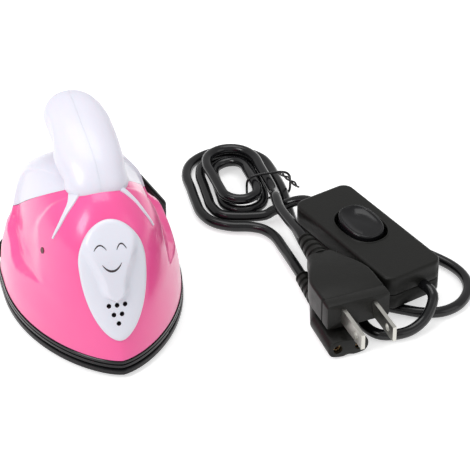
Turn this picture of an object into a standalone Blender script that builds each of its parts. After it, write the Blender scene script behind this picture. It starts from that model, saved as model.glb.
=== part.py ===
"""Mini craft iron that stands in a small powered base, with its detachable cord set lying beside it.

Metres, +Z up. The nose points along -Y. Distances "behind" are measured along +Y from the base tray's nose,
and the origin is at the bottom centre of the base.
"""
import math

import bmesh
import bpy
from mathutils import Matrix, Vector
from mathutils.bvhtree import BVHTree

# Driving dimensions
BODY_LENGTH = 0.0805
BODY_HALF_WIDTH = 0.0338
BODY_HEIGHT = 0.0560
BODY_NOSE = 0.0012
BODY_WIDEST_SHARE = 0.718
SHELL_WALL = 0.0018
FOOT_HEIGHT = 0.0009
GAP = 0.0003
OVERRUN = 0.0020
NOSE_POWER = 1.36
TAIL_POWER = 0.42
CORD_DIAMETER = 0.0042

# Base tray and what lies in it
TRAY_FLOOR = 0.0010
TRAY_RIM_HEIGHT = 0.0024
TRAY_RIM_WALL = 0.0013
TRAY_LEDGE = 0.0002
TRAY_SETBACK = 0.0002
HEAT_SHEET_THICKNESS = 0.0006
HEAT_SHEET_INSET = 0.0070
FOOT_RADIUS = 0.0032
# how far to the side and behind the body's nose, as shares of the tray's half width and the body's length
FOOT_PLACE_SHARES = ((0.1740, 0.1714), (0.7246, 0.8795))

# Soleplate and the black skirt round it
SOLE_THICKNESS = 0.0024
SOLE_CLEARANCE = 0.0007
SKIRT_NOSE_LEDGE = 0.0004
SKIRT_SIDE_LEDGE = 0.0005
SKIRT_TAIL_LEDGE = 0.0001
SKIRT_HEIGHT = 0.0031
SKIRT_WALL = 0.0035
FLANGE_THICKNESS = 0.0009
FLANGE_WIDTH = 0.0075
SOLE_SCREW_RADIUS = 0.0012
SOLE_SCREW_HEAD_RADIUS = 0.0022
SOLE_SCREW_HEAD = 0.0012
SOLE_SCREW_DEPTH = 0.0018
# how far the sole's screws stand from the nose, rear and sides of the flange's mouth
SOLE_SCREW_NOSE_MARGIN = 0.0043
SOLE_SCREW_TAIL_MARGIN = 0.0008
SOLE_SCREW_SIDE_MARGIN = 0.0003
# radius of a screw head's crown and height of its rim, radius of the shank's point and where its taper starts
SCREW_CROWN_SHARE = 0.70
SCREW_RIM_SHARE = 0.40
SCREW_POINT_SHARE = 0.60
SCREW_THREAD_SHARE = 0.85
SCREW_SIDES = 14

# Back plate, housing and inlet of the base
PLATE_THICKNESS = 0.0024
PLATE_LEDGE = 0.0010
PLATE_TOP = 0.0322
PLATE_RIGHT_SHOULDER = 0.0170
PLATE_RIGHT_TOP_WIDTH = 0.0255
PLATE_LEFT_SHOULDER = 0.0045
PLATE_LEFT_STEP_WIDTH = 0.0290
PLATE_LEFT_STEP_HEIGHT = 0.0120
PLATE_LEFT_TOP_WIDTH = 0.0235
PLATE_CORNER = 0.0010
HOUSING_HALF_WIDTH = 0.0190
HOUSING_TOP = 0.0250
HOUSING_WALL = 0.0016
INLET_CLEARANCE = 0.0002
ROUND_END_STEPS = 6
INLET_WALL = 0.0012
INLET_CENTRE_HEIGHT = 0.0140
INLET_DEPTH = 0.0073
INLET_PIN_RADIUS = 0.0012
INLET_PIN_SETBACK = 0.0016
CONTACT_HALF_SPACING = 0.0120
CONTACT_HALF_WIDTH = 0.0030
CONTACT_RISE = 0.0027
CONTACT_HEIGHT = 0.0080
CONTACT_THICKNESS = 0.0008
BASE_SCREW_RADIUS = 0.0012
BASE_SCREW_HEAD_RADIUS = 0.0021
BASE_SCREW_HEAD = 0.0010
BASE_SCREW_INSET = 0.0040

# Handle: shares of the body's length and height place its foot, shares of its own reach and height its spine
HANDLE_FRONT_SHARE = 0.4696
HANDLE_FOOT_SHARE = 0.7268
HANDLE_REACH = 0.0412
HANDLE_HEIGHT = 0.0268
HANDLE_HALF_WIDTH = 0.0128
HANDLE_HALF_DEPTH = 0.0090
HANDLE_LEAN = 0.0025
HANDLE_WALL = 0.0020
HANDLE_SIDES = 20
HANDLE_SQUARENESS = 0.90
# behind, height, half width, half depth and lean to the left, as shares
HANDLE_SPINE_SHARES = (
    (0.000, 0.000, 0.805, 1.000, 0.00),
    (0.000, 0.243, 0.805, 1.000, 0.00),
    (0.007, 0.410, 0.828, 1.000, 0.04),
    (0.049, 0.552, 0.883, 0.980, 0.12),
    (0.146, 0.664, 0.953, 0.920, 0.32),
    (0.303, 0.757, 0.992, 0.867, 0.56),
    (0.473, 0.832, 1.000, 0.811, 0.76),
    (0.631, 0.884, 0.977, 0.767, 0.88),
    (0.765, 0.929, 0.883, 0.700, 0.96),
    (0.874, 0.963, 0.727, 0.600, 1.00),
    (0.951, 0.985, 0.523, 0.456, 1.00),
    (1.000, 1.000, 0.266, 0.244, 1.00),
)

# Body rings: front, half width, widest, rear, height at nose, side and tail as shares, then the two powers
# and the share by which the right flank's rear is drawn in
BODY_RING_SHARES = (
    (0.000, 1.000, 0.72, 1.000, -0.020, -0.020, -0.020, NOSE_POWER, TAIL_POWER, 0.00),
    (0.016, 0.970, 0.72, 1.000, 0.080, 0.160, 0.115, 1.25, TAIL_POWER, 0.00),
    (0.045, 0.900, 0.72, 1.000, 0.215, 0.340, 0.215, 1.05, TAIL_POWER, 0.00),
    (0.077, 0.860, 0.72, 1.000, 0.350, 0.325, 0.330, 0.90, 0.45, 0.04),
    (0.114, 0.825, 0.75, 1.000, 0.482, 0.438, 0.438, 0.75, 0.50, 0.08),
    (0.153, 0.760, 0.78, 1.018, 0.620, 0.607, 0.554, 0.65, 0.60, 0.10),
    (0.191, 0.666, 0.78, 1.024, 0.757, 0.757, 0.680, 0.60, 0.70, 0.22),
    (0.246, 0.527, 0.70, 0.942, 0.875, 0.866, 0.820, 0.65, 0.80, 0.25),
    (0.308, 0.367, 0.58, 0.792, 0.960, 0.937, 0.930, 0.80, 0.90, 0.10),
    (0.370, 0.250, 0.50, 0.631, 1.000, 0.982, 0.975, 1.00, 1.00, 0.00),
)
# The angles round from the nose over which that drawing in comes on
DRAW_START = math.radians(50)
DRAW_END = math.radians(90)
BODY_SIDES = 44
# Slanted plane between shell and cap: where it passes and its fall, as shares of the body's length and height
CAP_SPLIT_BEHIND_SHARE = 0.5155
CAP_SPLIT_HEIGHT_SHARE = 0.8946
CAP_SPLIT_FALL_SHARE = 1.1681

# Face panel: its heights are shares of the body's height, its chin's sizes are shares of the panel's
PANEL_CENTRE_SHARE = 0.6196
PANEL_UPPER_SHARE = 0.2679
PANEL_LOWER_SHARE = 0.4821
PANEL_HALF_WIDTH = 0.0121
PANEL_THICKNESS = 0.0014
PANEL_RINGS = 7
PANEL_SIDES = 28
PANEL_TAPER_POWER = 1.12
CHIN_CENTRE_SHARE = 0.6732
CHIN_WIDTH_SHARE = 0.7313
CHIN_HEIGHT_SHARE = 0.9062
CHIN_PROUD = 0.0026
VENT_RADIUS = 0.00088
VENT_TOP_SHARE = 0.3661
VENT_REACH_SHARE = 0.3600
VENT_ROW_COUNTS = (3, 2, 1)
VENT_ROW_STEP = 0.0031
VENT_SPACING = 0.0030
VENT_WINDOW_HALF_WIDTH = 0.0042
VENT_WINDOW_HALF_HEIGHT = 0.0046

# Side strips down the flanks, placed by shares of the body's half width, length and height
STRIP_TIP_SHARES = (0.5621, 0.3453, 0.6946)
STRIP_ROOT_SHARES = (0.3550, 0.4509, 0.9232)
STRIP_ROOT_HALF_WIDTH = 0.0022
STRIP_TIP_HALF_WIDTH = 0.0007
STRIP_ROOT_HALF_THICKNESS = 0.0009
STRIP_TIP_HALF_THICKNESS = 0.0005
STRIP_STEPS = 8
STRIP_SIDES = 8

# Inside the iron
HEATER_WIDTH_SHARE = 0.3207
HEATER_THICKNESS = 0.0040
HEATER_CLEARANCE = 0.0016
HEATER_EDGE = 0.0005
CLAMP_WIDTH = 0.0080
CLAMP_THICKNESS = 0.0010
CLAMP_CLEARANCE = 0.0012
CLAMP_FOOT = 0.0025
THERMOSTAT_RADIUS = 0.0038
THERMOSTAT_HEIGHT = 0.0050
THERMOSTAT_CLEARANCE = 0.0010
THERMOSTAT_SPACING = 0.0012
FUSE_RADIUS = 0.0016
FUSE_LENGTH = 0.0100
FUSE_SPACING = 0.0029
LEAD_RADIUS = 0.0010
LEAD_INWARD_SHARES = (0.90, 0.60)
PAD_THICKNESS = 0.0008
PAD_SIDE_MARGIN = 0.0006
PAD_LOW_MARGIN = 0.0008
PAD_HIGH_MARGIN = 0.0010
LENS_RADIUS = 0.0012
LENS_LENGTH = 0.0024
LENS_SHARES = (0.6200, 0.3950, 0.5661)
LAMP_RADIUS = 0.0015
LAMP_LENGTH = 0.0040

# Switch box in the cord
SWITCH_CENTRE = (0.1059, 0.0425)
SWITCH_LENGTH = 0.0633
SWITCH_WIDTH = 0.0264
SWITCH_BOTTOM = 0.0048
SWITCH_SPLIT = 0.0112
SWITCH_TOP = 0.0190
SWITCH_WALL = 0.0016
SWITCH_CORNER = 0.0032
SWITCH_TURN = math.radians(19.5)
ROCKER_HALF_LENGTH = 0.0100
ROCKER_HALF_WIDTH = 0.0074
ROCKER_OFFSET = 0.0040
ROCKER_DEPTH = 0.0050
ROCKER_PROUD = 0.0022
ROCKER_CLEARANCE = 0.0006
ROCKER_TILT = math.radians(7)
ROCKER_SIDES = 24
ROCKER_PIN_RADIUS = 0.0010
ROCKER_AXIS_DROP = 0.0024
TERMINAL_LENGTH = 0.0060
TERMINAL_WIDTH = 0.0030
TERMINAL_HEIGHT = 0.0040
TERMINAL_OFFSET = 0.0190
SWITCH_NOTCH_OFFSET = 0.0033

# Two-pin plug
PLUG_FACE = (0.0893, -0.0018)
PLUG_TURN = math.radians(8)
PLUG_LENGTH = 0.0350
PLUG_FACE_HALF_WIDTH = 0.0128
PLUG_NECK_HALF_WIDTH = 0.0058
PLUG_BOTTOM = 0.0098
PLUG_THICKNESS = 0.0110
PLUG_NECK_THICKNESS = 0.0082
# distance behind the face, half width and thickness, as shares, from the face to just ahead of the neck
PLUG_STATION_SHARES = ((0.0, 1.0, 1.0), (0.45, 0.97, 1.0), (0.80, 0.70, 0.93))
PLUG_SECTION_SHARES = (
    (-1.0, -0.6), (-0.85, -1.0), (0.85, -1.0), (1.0, -0.6),
    (1.0, 0.6), (0.85, 1.0), (-0.85, 1.0), (-1.0, 0.6),
)
PRONG_HALF_SPACING = 0.00635
PRONG_LENGTH = 0.0175
PRONG_WIDTH = 0.0063
PRONG_THICKNESS = 0.0015
PRONG_HOLE_RADIUS = 0.0016
PRONG_HOLE_FROM_TIP = 0.0048
RELIEF_LENGTH = 0.0150
RELIEF_ROOT_RADIUS = 0.0044
RELIEF_TIP_RADIUS = 0.0030
RELIEF_RIBS = 4
RELIEF_GROOVE = 0.0007
RELIEF_SIDES = 14
RELIEF_FIRST_SHARE = 0.60
RELIEF_SPACING_SHARE = 0.40
# place along the relief beside a groove's middle, and depth, as shares
RELIEF_GROOVE_SHARES = ((-0.07, 0.0), (-0.05, 1.0), (0.05, 1.0), (0.07, 0.0))

# Figure-8 connector
CONNECTOR_FACE = (0.0838, -0.0082)
CONNECTOR_TURN = math.radians(5.8)
CONNECTOR_LENGTH = 0.0300
CONNECTOR_HALF_WIDTH = 0.0081
CONNECTOR_HALF_HEIGHT = 0.0040
CONNECTOR_CENTRE_HEIGHT = 0.0043
CONNECTOR_HOLE_RADIUS = 0.0015
CONNECTOR_TUBE_BORE = 0.0009
CONNECTOR_TUBE_LENGTH = 0.0080
CONNECTOR_HOLE_HALF_SPACING = 0.0043
CONNECTOR_HOLE_DEPTH = 0.0100
CONNECTOR_STRAIGHT_SHARE = 0.62
CONNECTOR_NECK_HALF_WIDTH = 0.0040
CONNECTOR_NECK_HALF_HEIGHT = 0.0038
CONNECTOR_RELIEF_LENGTH = 0.0170
CONNECTOR_RELIEF_ROOT_RADIUS = 0.0038
CONNECTOR_RELIEF_TIP_RADIUS = 0.0029

# Hank of cord: turns of two half rounds joined by straights, wound in on the upper layer and out on the lower
HANK_CENTRE = (0.0698, 0.1072)
HANK_HALF_STRAIGHT = 0.0100
HANK_INNER_RADIUS = 0.0064
HANK_PITCH = 0.0058
HANK_UPPER_TURNS = 1.0
HANK_CLIMB_TURNS = 0.5
HANK_LOWER_TURNS = 1.25
HANK_LOWER_HEIGHT = 0.0034
HANK_LAYER = 0.0047
HANK_POINTS_PER_TURN = 24
TIE_RADIUS = 0.0005
TIE_BEHIND = 0.1000
TIE_LEFT = 0.0728
TIE_RIGHT = 0.0911
TIE_TOP = 0.0114
TIE_POINTS = 28
TIE_POWER = 0.50
CORD_SIDES_RESOLUTION = 2
CORD_STEP = 0.0085

# Routes, chosen by hand, as places (across, behind, height) in metres
PLUG_LEAD_ROUTE = (
    (0.08226, 0.0483, 0.0153), (0.0816, 0.0529, 0.0153), (0.0804, 0.0630, 0.0141), (0.0796, 0.0740, 0.0127),
    (0.0803, 0.0830, 0.0118), (0.0816, 0.0883, 0.0094), (0.0820, 0.0926, 0.0081), (0.0820, 0.0969, 0.0081),
)
SWITCH_LEAD_ROUTE = (
    (0.0701, 0.08355, 0.0034), (0.0745, 0.08355, 0.0034), (0.0795, 0.0834, 0.0052), (0.0845, 0.0831, 0.0075),
    (0.0885, 0.0819, 0.0093), (0.0917, 0.0796, 0.0107), (0.0939, 0.0763, 0.0112), (0.0956, 0.0714, 0.0112),
)
CONNECTOR_LEAD_ROUTE = (
    (0.1193, 0.0147, 0.0112), (0.1210, 0.0098, 0.0112), (0.1212, 0.0062, 0.0101), (0.1192, 0.0032, 0.0072),
    (0.1155, 0.0004, 0.0042), (0.1100, -0.0018, 0.0025), (0.1040, -0.0026, 0.0023), (0.0980, -0.0010, 0.0023),
    (0.0945, 0.0045, 0.0023), (0.0938, 0.0110, 0.0031), (0.0935, 0.0170, 0.0055), (0.0933, 0.0225, 0.0070),
    (0.0931, 0.0285, 0.0050), (0.0930, 0.0340, 0.0026), (0.0940, 0.0420, 0.0023), (0.0985, 0.0520, 0.0022),
    (0.1060, 0.0590, 0.0022), (0.1150, 0.0590, 0.0022), (0.1240, 0.0525, 0.0022), (0.1320, 0.0430, 0.0022),
    (0.1382, 0.0340, 0.0022), (0.1407, 0.0255, 0.0022), (0.1392, 0.0170, 0.0022), (0.1335, 0.0098, 0.0022),
    (0.1260, 0.0067, 0.0022), (0.1180, 0.0079, 0.0022), (0.1120, 0.0112, 0.0022), (0.1060, 0.0150, 0.0022),
    (0.1000, 0.0185, 0.0022), (0.0945, 0.0220, 0.0022), (0.0905, 0.0280, 0.0022), (0.0885, 0.0360, 0.0022),
    (0.0874, 0.0460, 0.0022), (0.0867, 0.0560, 0.0022), (0.0863, 0.0680, 0.0022), (0.0862, 0.0800, 0.0022),
    (0.0869, 0.0900, 0.0030), (0.0874, 0.1000, 0.0037), (0.0874, 0.1090, 0.0031), (0.0874, 0.1172, 0.0024),
    (0.0858, 0.1252, 0.0022), (0.0806, 0.1313, 0.0022), (0.0745, 0.1342, 0.0022), (0.0680, 0.1347, 0.0022),
    (0.0610, 0.1324, 0.0022), (0.0553, 0.1274, 0.0022), (0.0524, 0.1200, 0.0022), (0.0521, 0.1110, 0.0022),
    (0.0518, 0.1020, 0.0022), (0.0521, 0.0930, 0.0022), (0.0552, 0.0858, 0.0022), (0.0614, 0.0812, 0.0022),
    (0.0685, 0.0790, 0.0022), (0.0735, 0.0757, 0.0022), (0.0765, 0.0695, 0.0023), (0.0774, 0.0610, 0.0028),
    (0.0778, 0.0530, 0.0038), (0.0781, 0.0480, 0.0043), (0.07852, 0.0437, 0.0043), (0.07899, 0.03916, 0.0043),
)

# Looks: colour, roughness and metallic
PINK_GLOSS = ((0.98, 0.13, 0.42, 1.0), 0.30, 0.0)
WHITE_GLOSS = ((0.86, 0.85, 0.92, 1.0), 0.35, 0.0)
BLACK_GLOSS = ((0.02, 0.02, 0.022, 1.0), 0.35, 0.0)
BLACK_MATT = ((0.02, 0.02, 0.022, 1.0), 0.50, 0.0)
BLACK_RUBBER = ((0.02, 0.02, 0.022, 1.0), 0.80, 0.0)
STEEL_SATIN = ((0.60, 0.60, 0.62, 1.0), 0.35, 1.0)
BRASS_SATIN = ((0.72, 0.52, 0.22, 1.0), 0.30, 1.0)
CREAM_MATT = ((0.80, 0.77, 0.68, 1.0), 0.60, 0.0)
DARK_RED_CLEAR = ((0.25, 0.02, 0.03, 1.0), 0.20, 0.0)
RED_GLOSS = ((0.60, 0.04, 0.04, 1.0), 0.30, 0.0)

# Heights that follow from the stack of base, sole, skirt and shell
FLOOR_BOTTOM = FOOT_HEIGHT + GAP
FLOOR_TOP = FLOOR_BOTTOM + TRAY_FLOOR
RIM_TOP = FLOOR_BOTTOM + TRAY_RIM_HEIGHT
SHEET_BOTTOM = FLOOR_TOP + GAP
SHEET_TOP = SHEET_BOTTOM + HEAT_SHEET_THICKNESS
SOLE_BOTTOM = SHEET_TOP + GAP
SOLE_TOP = SOLE_BOTTOM + SOLE_THICKNESS
SKIRT_BOTTOM = RIM_TOP + GAP
SKIRT_TOP = SKIRT_BOTTOM + SKIRT_HEIGHT
FLANGE_BOTTOM = SKIRT_TOP - FLANGE_THICKNESS
BODY_BOTTOM = SKIRT_TOP + GAP
CONTACT_LOW = BODY_BOTTOM + CONTACT_RISE
CONTACT_HIGH = CONTACT_LOW + CONTACT_HEIGHT
PAD_LOW = CONTACT_LOW - PAD_LOW_MARGIN
PAD_HIGH = CONTACT_HIGH + PAD_HIGH_MARGIN
PAD_HALF_WIDTH = CONTACT_HALF_WIDTH + PAD_SIDE_MARGIN
PANEL_CENTRE_HEIGHT = BODY_BOTTOM + BODY_HEIGHT * PANEL_CENTRE_SHARE
PANEL_UPPER_HEIGHT = BODY_HEIGHT * PANEL_UPPER_SHARE
PANEL_LOWER_HEIGHT = BODY_HEIGHT * PANEL_LOWER_SHARE
VENT_TOP_HEIGHT = BODY_BOTTOM + BODY_HEIGHT * VENT_TOP_SHARE
HANDLE_FOOT = BODY_BOTTOM + BODY_HEIGHT * HANDLE_FOOT_SHARE

# Lengths and widths that follow from the body
BODY_REAR = BODY_NOSE + BODY_LENGTH
HANDLE_FRONT = BODY_NOSE + BODY_LENGTH * HANDLE_FRONT_SHARE
TRAY_WIDEST = BODY_NOSE + BODY_LENGTH * BODY_WIDEST_SHARE
SKIRT_NOSE = BODY_NOSE - SKIRT_NOSE_LEDGE
SKIRT_HALF_WIDTH = BODY_HALF_WIDTH + SKIRT_SIDE_LEDGE
SKIRT_REAR = BODY_REAR + SKIRT_TAIL_LEDGE
SOLE_INSET = SKIRT_WALL + SOLE_CLEARANCE
MOUTH_INSET = SKIRT_WALL + FLANGE_WIDTH
MOUTH_NOSE = SKIRT_NOSE + 2 * MOUTH_INSET
MOUTH_HALF_WIDTH = SKIRT_HALF_WIDTH - MOUTH_INSET
MOUTH_REAR = SKIRT_REAR - MOUTH_INSET
HEATER_WIDTH = 2 * SKIRT_HALF_WIDTH * HEATER_WIDTH_SHARE
THERMOSTAT_BEHIND = MOUTH_REAR - THERMOSTAT_CLEARANCE - THERMOSTAT_RADIUS
TRAY_HALF_WIDTH = SKIRT_HALF_WIDTH + TRAY_LEDGE
PLATE_HALF_WIDTH = TRAY_HALF_WIDTH + PLATE_LEDGE
PLATE_FRONT = BODY_REAR + 2 * GAP
PLATE_REAR = PLATE_FRONT + PLATE_THICKNESS
TRAY_REAR = PLATE_REAR - TRAY_SETBACK
HOUSING_FRONT = PLATE_REAR + GAP
INLET_FRONT = HOUSING_FRONT + CONTACT_THICKNESS + 2 * GAP
HOUSING_REAR = INLET_FRONT + INLET_DEPTH
BASE_SCREW_HALF_SPACING = HOUSING_HALF_WIDTH - BASE_SCREW_INSET
BASE_SCREW_HEIGHT = HOUSING_TOP - BASE_SCREW_INSET
BASE_LENGTH = HOUSING_REAR + GAP + BASE_SCREW_HEAD
INLET_HALF_WIDTH = CONNECTOR_HALF_WIDTH + INLET_CLEARANCE
INLET_HALF_HEIGHT = CONNECTOR_HALF_HEIGHT + INLET_CLEARANCE
INLET_PIN_HALF_SPACING = CONNECTOR_HOLE_HALF_SPACING
INLET_PIN_LENGTH = INLET_DEPTH - INLET_PIN_SETBACK
ROCKER_PIN_HALF_LENGTH = SWITCH_WIDTH / 2 - SWITCH_WALL - GAP
SWITCH_CORD_HEIGHT = SWITCH_SPLIT


def at(across, behind, height):
    """A place given across, behind the tray's nose and above the surface."""
    return Vector((across, behind - BASE_LENGTH / 2, height))


def on_body(shares, side=1):
    """A place given by shares of the body's half width, length and height, on one side of the middle."""
    across, behind, height = shares
    rise = BODY_BOTTOM + BODY_HEIGHT * height
    return at(side * BODY_HALF_WIDTH * across, BODY_NOSE + BODY_LENGTH * behind, rise)


def clear_scene():
    for item in list(bpy.data.objects):
        bpy.data.objects.remove(item, do_unlink=True)


def new_collection(name):
    collection = bpy.data.collections.new(name)
    bpy.context.scene.collection.children.link(collection)
    return collection


clear_scene()
PARTS = new_collection("mini_craft_iron")
CUTTERS = new_collection("cutters")


def material(name, colour, roughness, metallic=0.0):
    """The Principled material of one sub-part."""
    made = bpy.data.materials.new(name)
    made.use_nodes = True
    shader = made.node_tree.nodes["Principled BSDF"]
    shader.inputs["Base Color"].default_value = colour
    shader.inputs["Roughness"].default_value = roughness
    shader.inputs["Metallic"].default_value = metallic
    made.diffuse_color = colour
    return made


def empty(name, place):
    frame = bpy.data.objects.new(name, None)
    frame.location = place
    PARTS.objects.link(frame)
    return frame


def add(name, mesh, collection=None):
    item = bpy.data.objects.new(name, mesh)
    (collection or PARTS).objects.link(item)
    return item


def finish(item, look, parent):
    """Gives the object its own material and hangs it on its frame without moving it."""
    colour, roughness, metallic = look
    item.data.materials.clear()
    item.data.materials.append(material(item.name, colour, roughness, metallic))
    item.parent = parent
    item.matrix_parent_inverse = parent.matrix_basis.inverted()
    return item


def mesh_of(name, bm):
    mesh = bpy.data.meshes.new(name)
    bmesh.ops.recalc_face_normals(bm, faces=bm.faces)
    bm.to_mesh(mesh)
    bm.free()
    return mesh


def box(name, low, high, collection=None):
    """A box between two corners, made at its centre and then placed."""
    bm = bmesh.new()
    size = [h - l for l, h in zip(low, high)]
    bmesh.ops.create_cube(bm, size=1.0, matrix=Matrix.Diagonal((*size, 1.0)))
    item = add(name, mesh_of(name, bm), collection)
    item.location = [(h + l) / 2 for l, h in zip(low, high)]
    return item


def rod(name, start, end, radius, sides=20, end_radius=None, collection=None):
    """A round bar or cone between two places."""
    axis = end - start
    bm = bmesh.new()
    tip = radius if end_radius is None else end_radius
    bmesh.ops.create_cone(bm, cap_ends=True, segments=sides, radius1=radius, radius2=tip, depth=axis.length)
    item = add(name, mesh_of(name, bm), collection)
    item.rotation_mode = "QUATERNION"
    item.rotation_quaternion = axis.to_track_quat("Z", "Y")
    item.location = (start + end) / 2
    smooth(item)
    return item


def smooth(item, degrees=35):
    item.data.shade_smooth()
    item.data.set_sharp_from_angle(angle=math.radians(degrees))


def slab(name, outline, low, high, collection=None):
    """A flat outline of (x, y) places, filled and given its thickness, as a closed mesh."""
    curve = bpy.data.curves.new(name, "CURVE")
    curve.dimensions = "2D"
    curve.fill_mode = "BOTH"
    curve.extrude = (high - low) / 2
    spline = curve.splines.new("POLY")
    spline.points.add(len(outline) - 1)
    for point, (x, y) in zip(spline.points, outline):
        point.co = (x, y, 0, 1)
    spline.use_cyclic_u = True
    drawn = bpy.data.objects.new(name + "_outline", curve)
    CUTTERS.objects.link(drawn)
    drawn.location = (0, 0, (low + high) / 2)
    return closed_mesh(name, drawn, collection)


def closed_mesh(name, drawn, collection=None):
    """Turns a curve object into a mesh object with welded caps, at the same place."""
    bpy.context.view_layer.update()
    graph = bpy.context.evaluated_depsgraph_get()
    mesh = bpy.data.meshes.new_from_object(drawn.evaluated_get(graph))
    bm = bmesh.new()
    bm.from_mesh(mesh)
    bmesh.ops.remove_doubles(bm, verts=bm.verts, dist=0.00001)
    bmesh.ops.recalc_face_normals(bm, faces=bm.faces)
    bm.to_mesh(mesh)
    bm.free()
    mesh.name = name
    item = add(name, mesh, collection)
    item.matrix_world = drawn.matrix_world.copy()
    bpy.data.objects.remove(drawn, do_unlink=True)
    return item


def cut(item, cutter, operation="DIFFERENCE"):
    """A Boolean with a cutter that is kept out of the model."""
    cutter.hide_render = True
    cutter.display_type = "WIRE"
    for home in list(cutter.users_collection):
        home.objects.unlink(cutter)
    CUTTERS.objects.link(cutter)
    step = item.modifiers.new(cutter.name, "BOOLEAN")
    step.object = cutter
    step.operation = operation
    step.solver = "EXACT"


def bevel(item, width, segments=2, degrees=40):
    step = item.modifiers.new("rounded edges", "BEVEL")
    step.width = width
    step.segments = segments
    step.limit_method = "ANGLE"
    step.angle_limit = math.radians(degrees)


def turn_about(item, place, angle):
    """Turns an object about the upright line through a place."""
    bpy.context.view_layer.update()
    spin = Matrix.Translation(place) @ Matrix.Rotation(angle, 4, "Z") @ Matrix.Translation(-place)
    item.matrix_world = spin @ item.matrix_world


def catmull(points, per_span):
    """A smooth curve through the points, with per_span steps from each to the next."""
    smoothed = []
    last = len(points) - 1
    for i in range(last):
        p0, p1 = points[max(i - 1, 0)], points[i]
        p2, p3 = points[i + 1], points[min(i + 2, last)]
        for k in range(per_span):
            t = k / per_span
            value = [
                b + ((c - a) * t + (2 * a - 5 * b + 4 * c - d) * t**2 + (3 * b - a - 3 * c + d) * t**3) / 2
                for a, b, c, d in zip(p0, p1, p2, p3)
            ]
            smoothed.append(tuple(value))
    smoothed.append(tuple(points[last]))
    return smoothed


def side_and_length(angle, half, front, widest, rear, nose_power, tail_power):
    """Half width and distance behind the nose on an outline that starts at the nose and ends at the tail."""
    across = math.sin(angle)
    along = math.cos(angle)
    if along >= 0:
        return half * across**nose_power, widest - (widest - front) * along
    return half * across**tail_power, widest + (rear - widest) * (-along) ** tail_power


def plan(front, half, rear, sides=BODY_SIDES, widest=TRAY_WIDEST):
    """The pointed plan outline that sole, skirt, tray and shell share."""
    outline = []
    for k in range(sides):
        turn = 2 * math.pi * k / sides
        angle = min(turn, 2 * math.pi - turn)
        x, behind = side_and_length(max(angle, 0.0), half, front, widest, rear, NOSE_POWER, TAIL_POWER)
        place = at(x if turn <= math.pi else -x, behind, 0)
        outline.append((place.x, place.y))
    return outline


def inset_plan(front, half, rear, inset):
    """The plan outline drawn in; the sharp nose moves back further than the sides."""
    return plan(front + 2 * inset, half - inset, rear - inset)


def smooth_step(x):
    x = min(max(x, 0.0), 1.0)
    return x * x * (3 - 2 * x)


def body_ring(values):
    """One ring of the shell's outer surface, from ten shares of the body's sizes."""
    front, half, widest, rear, nose_height, side_height, tail_height, nose_power, tail_power, drawn = values
    ring = []
    for k in range(BODY_SIDES):
        turn = 2 * math.pi * k / BODY_SIDES
        angle = min(turn, 2 * math.pi - turn)
        x, share = side_and_length(angle, half, front, widest, rear, nose_power, tail_power)
        ease = (1 - math.cos(2 * angle)) / 2
        far = nose_height if angle <= math.pi / 2 else tail_height
        rise = far + (side_height - far) * ease
        behind = BODY_NOSE + BODY_LENGTH * share
        if turn <= math.pi:
            side = x * BODY_HALF_WIDTH * (1 - drawn * smooth_step((angle - DRAW_START) / (DRAW_END - DRAW_START)))
        else:
            side = -x * BODY_HALF_WIDTH
        ring.append(at(side, behind, BODY_BOTTOM + BODY_HEIGHT * rise))
    return ring


def body_surface():
    """The open outer surface of pink shell and white cap together, with a flat lid under the handle."""
    rings = [body_ring(values) for values in catmull(BODY_RING_SHARES, 2)]
    bm = bmesh.new()
    grid = [[bm.verts.new(place) for place in ring] for ring in rings]
    for lower, upper in zip(grid, grid[1:]):
        for k in range(BODY_SIDES):
            after = (k + 1) % BODY_SIDES
            bm.faces.new((lower[k], lower[after], upper[after], upper[k]))
    bm.faces.new(grid[-1])
    mesh = bpy.data.meshes.new("body surface")
    bm.to_mesh(mesh)
    bm.free()
    return mesh


def shell_thickness(item):
    step = item.modifiers.new("wall", "SOLIDIFY")
    step.thickness = SHELL_WALL
    step.offset = -1


def cap_side_block(name, above, shift):
    """A large block on one side of the slanted plane that parts the white cap from the pink shell."""
    reach = BASE_LENGTH
    bm = bmesh.new()
    bmesh.ops.create_cube(bm, size=2.0, matrix=Matrix.Diagonal((reach, reach, reach / 2, 1.0)))
    block = add(name, mesh_of(name, bm), CUTTERS)
    slope = math.atan(CAP_SPLIT_FALL_SHARE * BODY_HEIGHT / BODY_LENGTH)
    normal = Vector((0, math.sin(slope), math.cos(slope)))
    sign = 1 if above else -1
    block.rotation_euler = (-slope, 0, 0)
    passing = on_body((0, CAP_SPLIT_BEHIND_SHARE, CAP_SPLIT_HEIGHT_SHARE))
    block.location = passing + normal * sign * (reach / 2 + shift)
    return block


def handle_section(index, spine, sides, grow=0.0):
    """One closed section of the handle, square to its spine."""
    behind, height, half_width, half_depth, lean = spine[index]
    before = spine[max(index - 1, 0)]
    after = spine[min(index + 1, len(spine) - 1)]
    forward = Vector((0, after[0] - before[0], after[1] - before[1])).normalized()
    up = Vector((0, -forward.z, forward.y))
    centre = at(-lean, behind, height)
    ring = []
    for k in range(sides):
        angle = 2 * math.pi * k / sides
        c, s = math.cos(angle), math.sin(angle)
        across = math.copysign(abs(c) ** HANDLE_SQUARENESS, c) * (half_width + grow)
        deep = math.copysign(abs(s) ** HANDLE_SQUARENESS, s) * (half_depth + grow)
        ring.append(centre + Vector((across, 0, 0)) + up * deep)
    return ring


def handle_spine():
    """Places and half sizes along the handle, in metres."""
    return [
        (
            HANDLE_FRONT + HANDLE_REACH * behind,
            HANDLE_FOOT + HANDLE_HEIGHT * height,
            HANDLE_HALF_WIDTH * half_width,
            HANDLE_HALF_DEPTH * half_depth,
            HANDLE_LEAN * lean,
        )
        for behind, height, half_width, half_depth, lean in HANDLE_SPINE_SHARES
    ]


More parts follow.
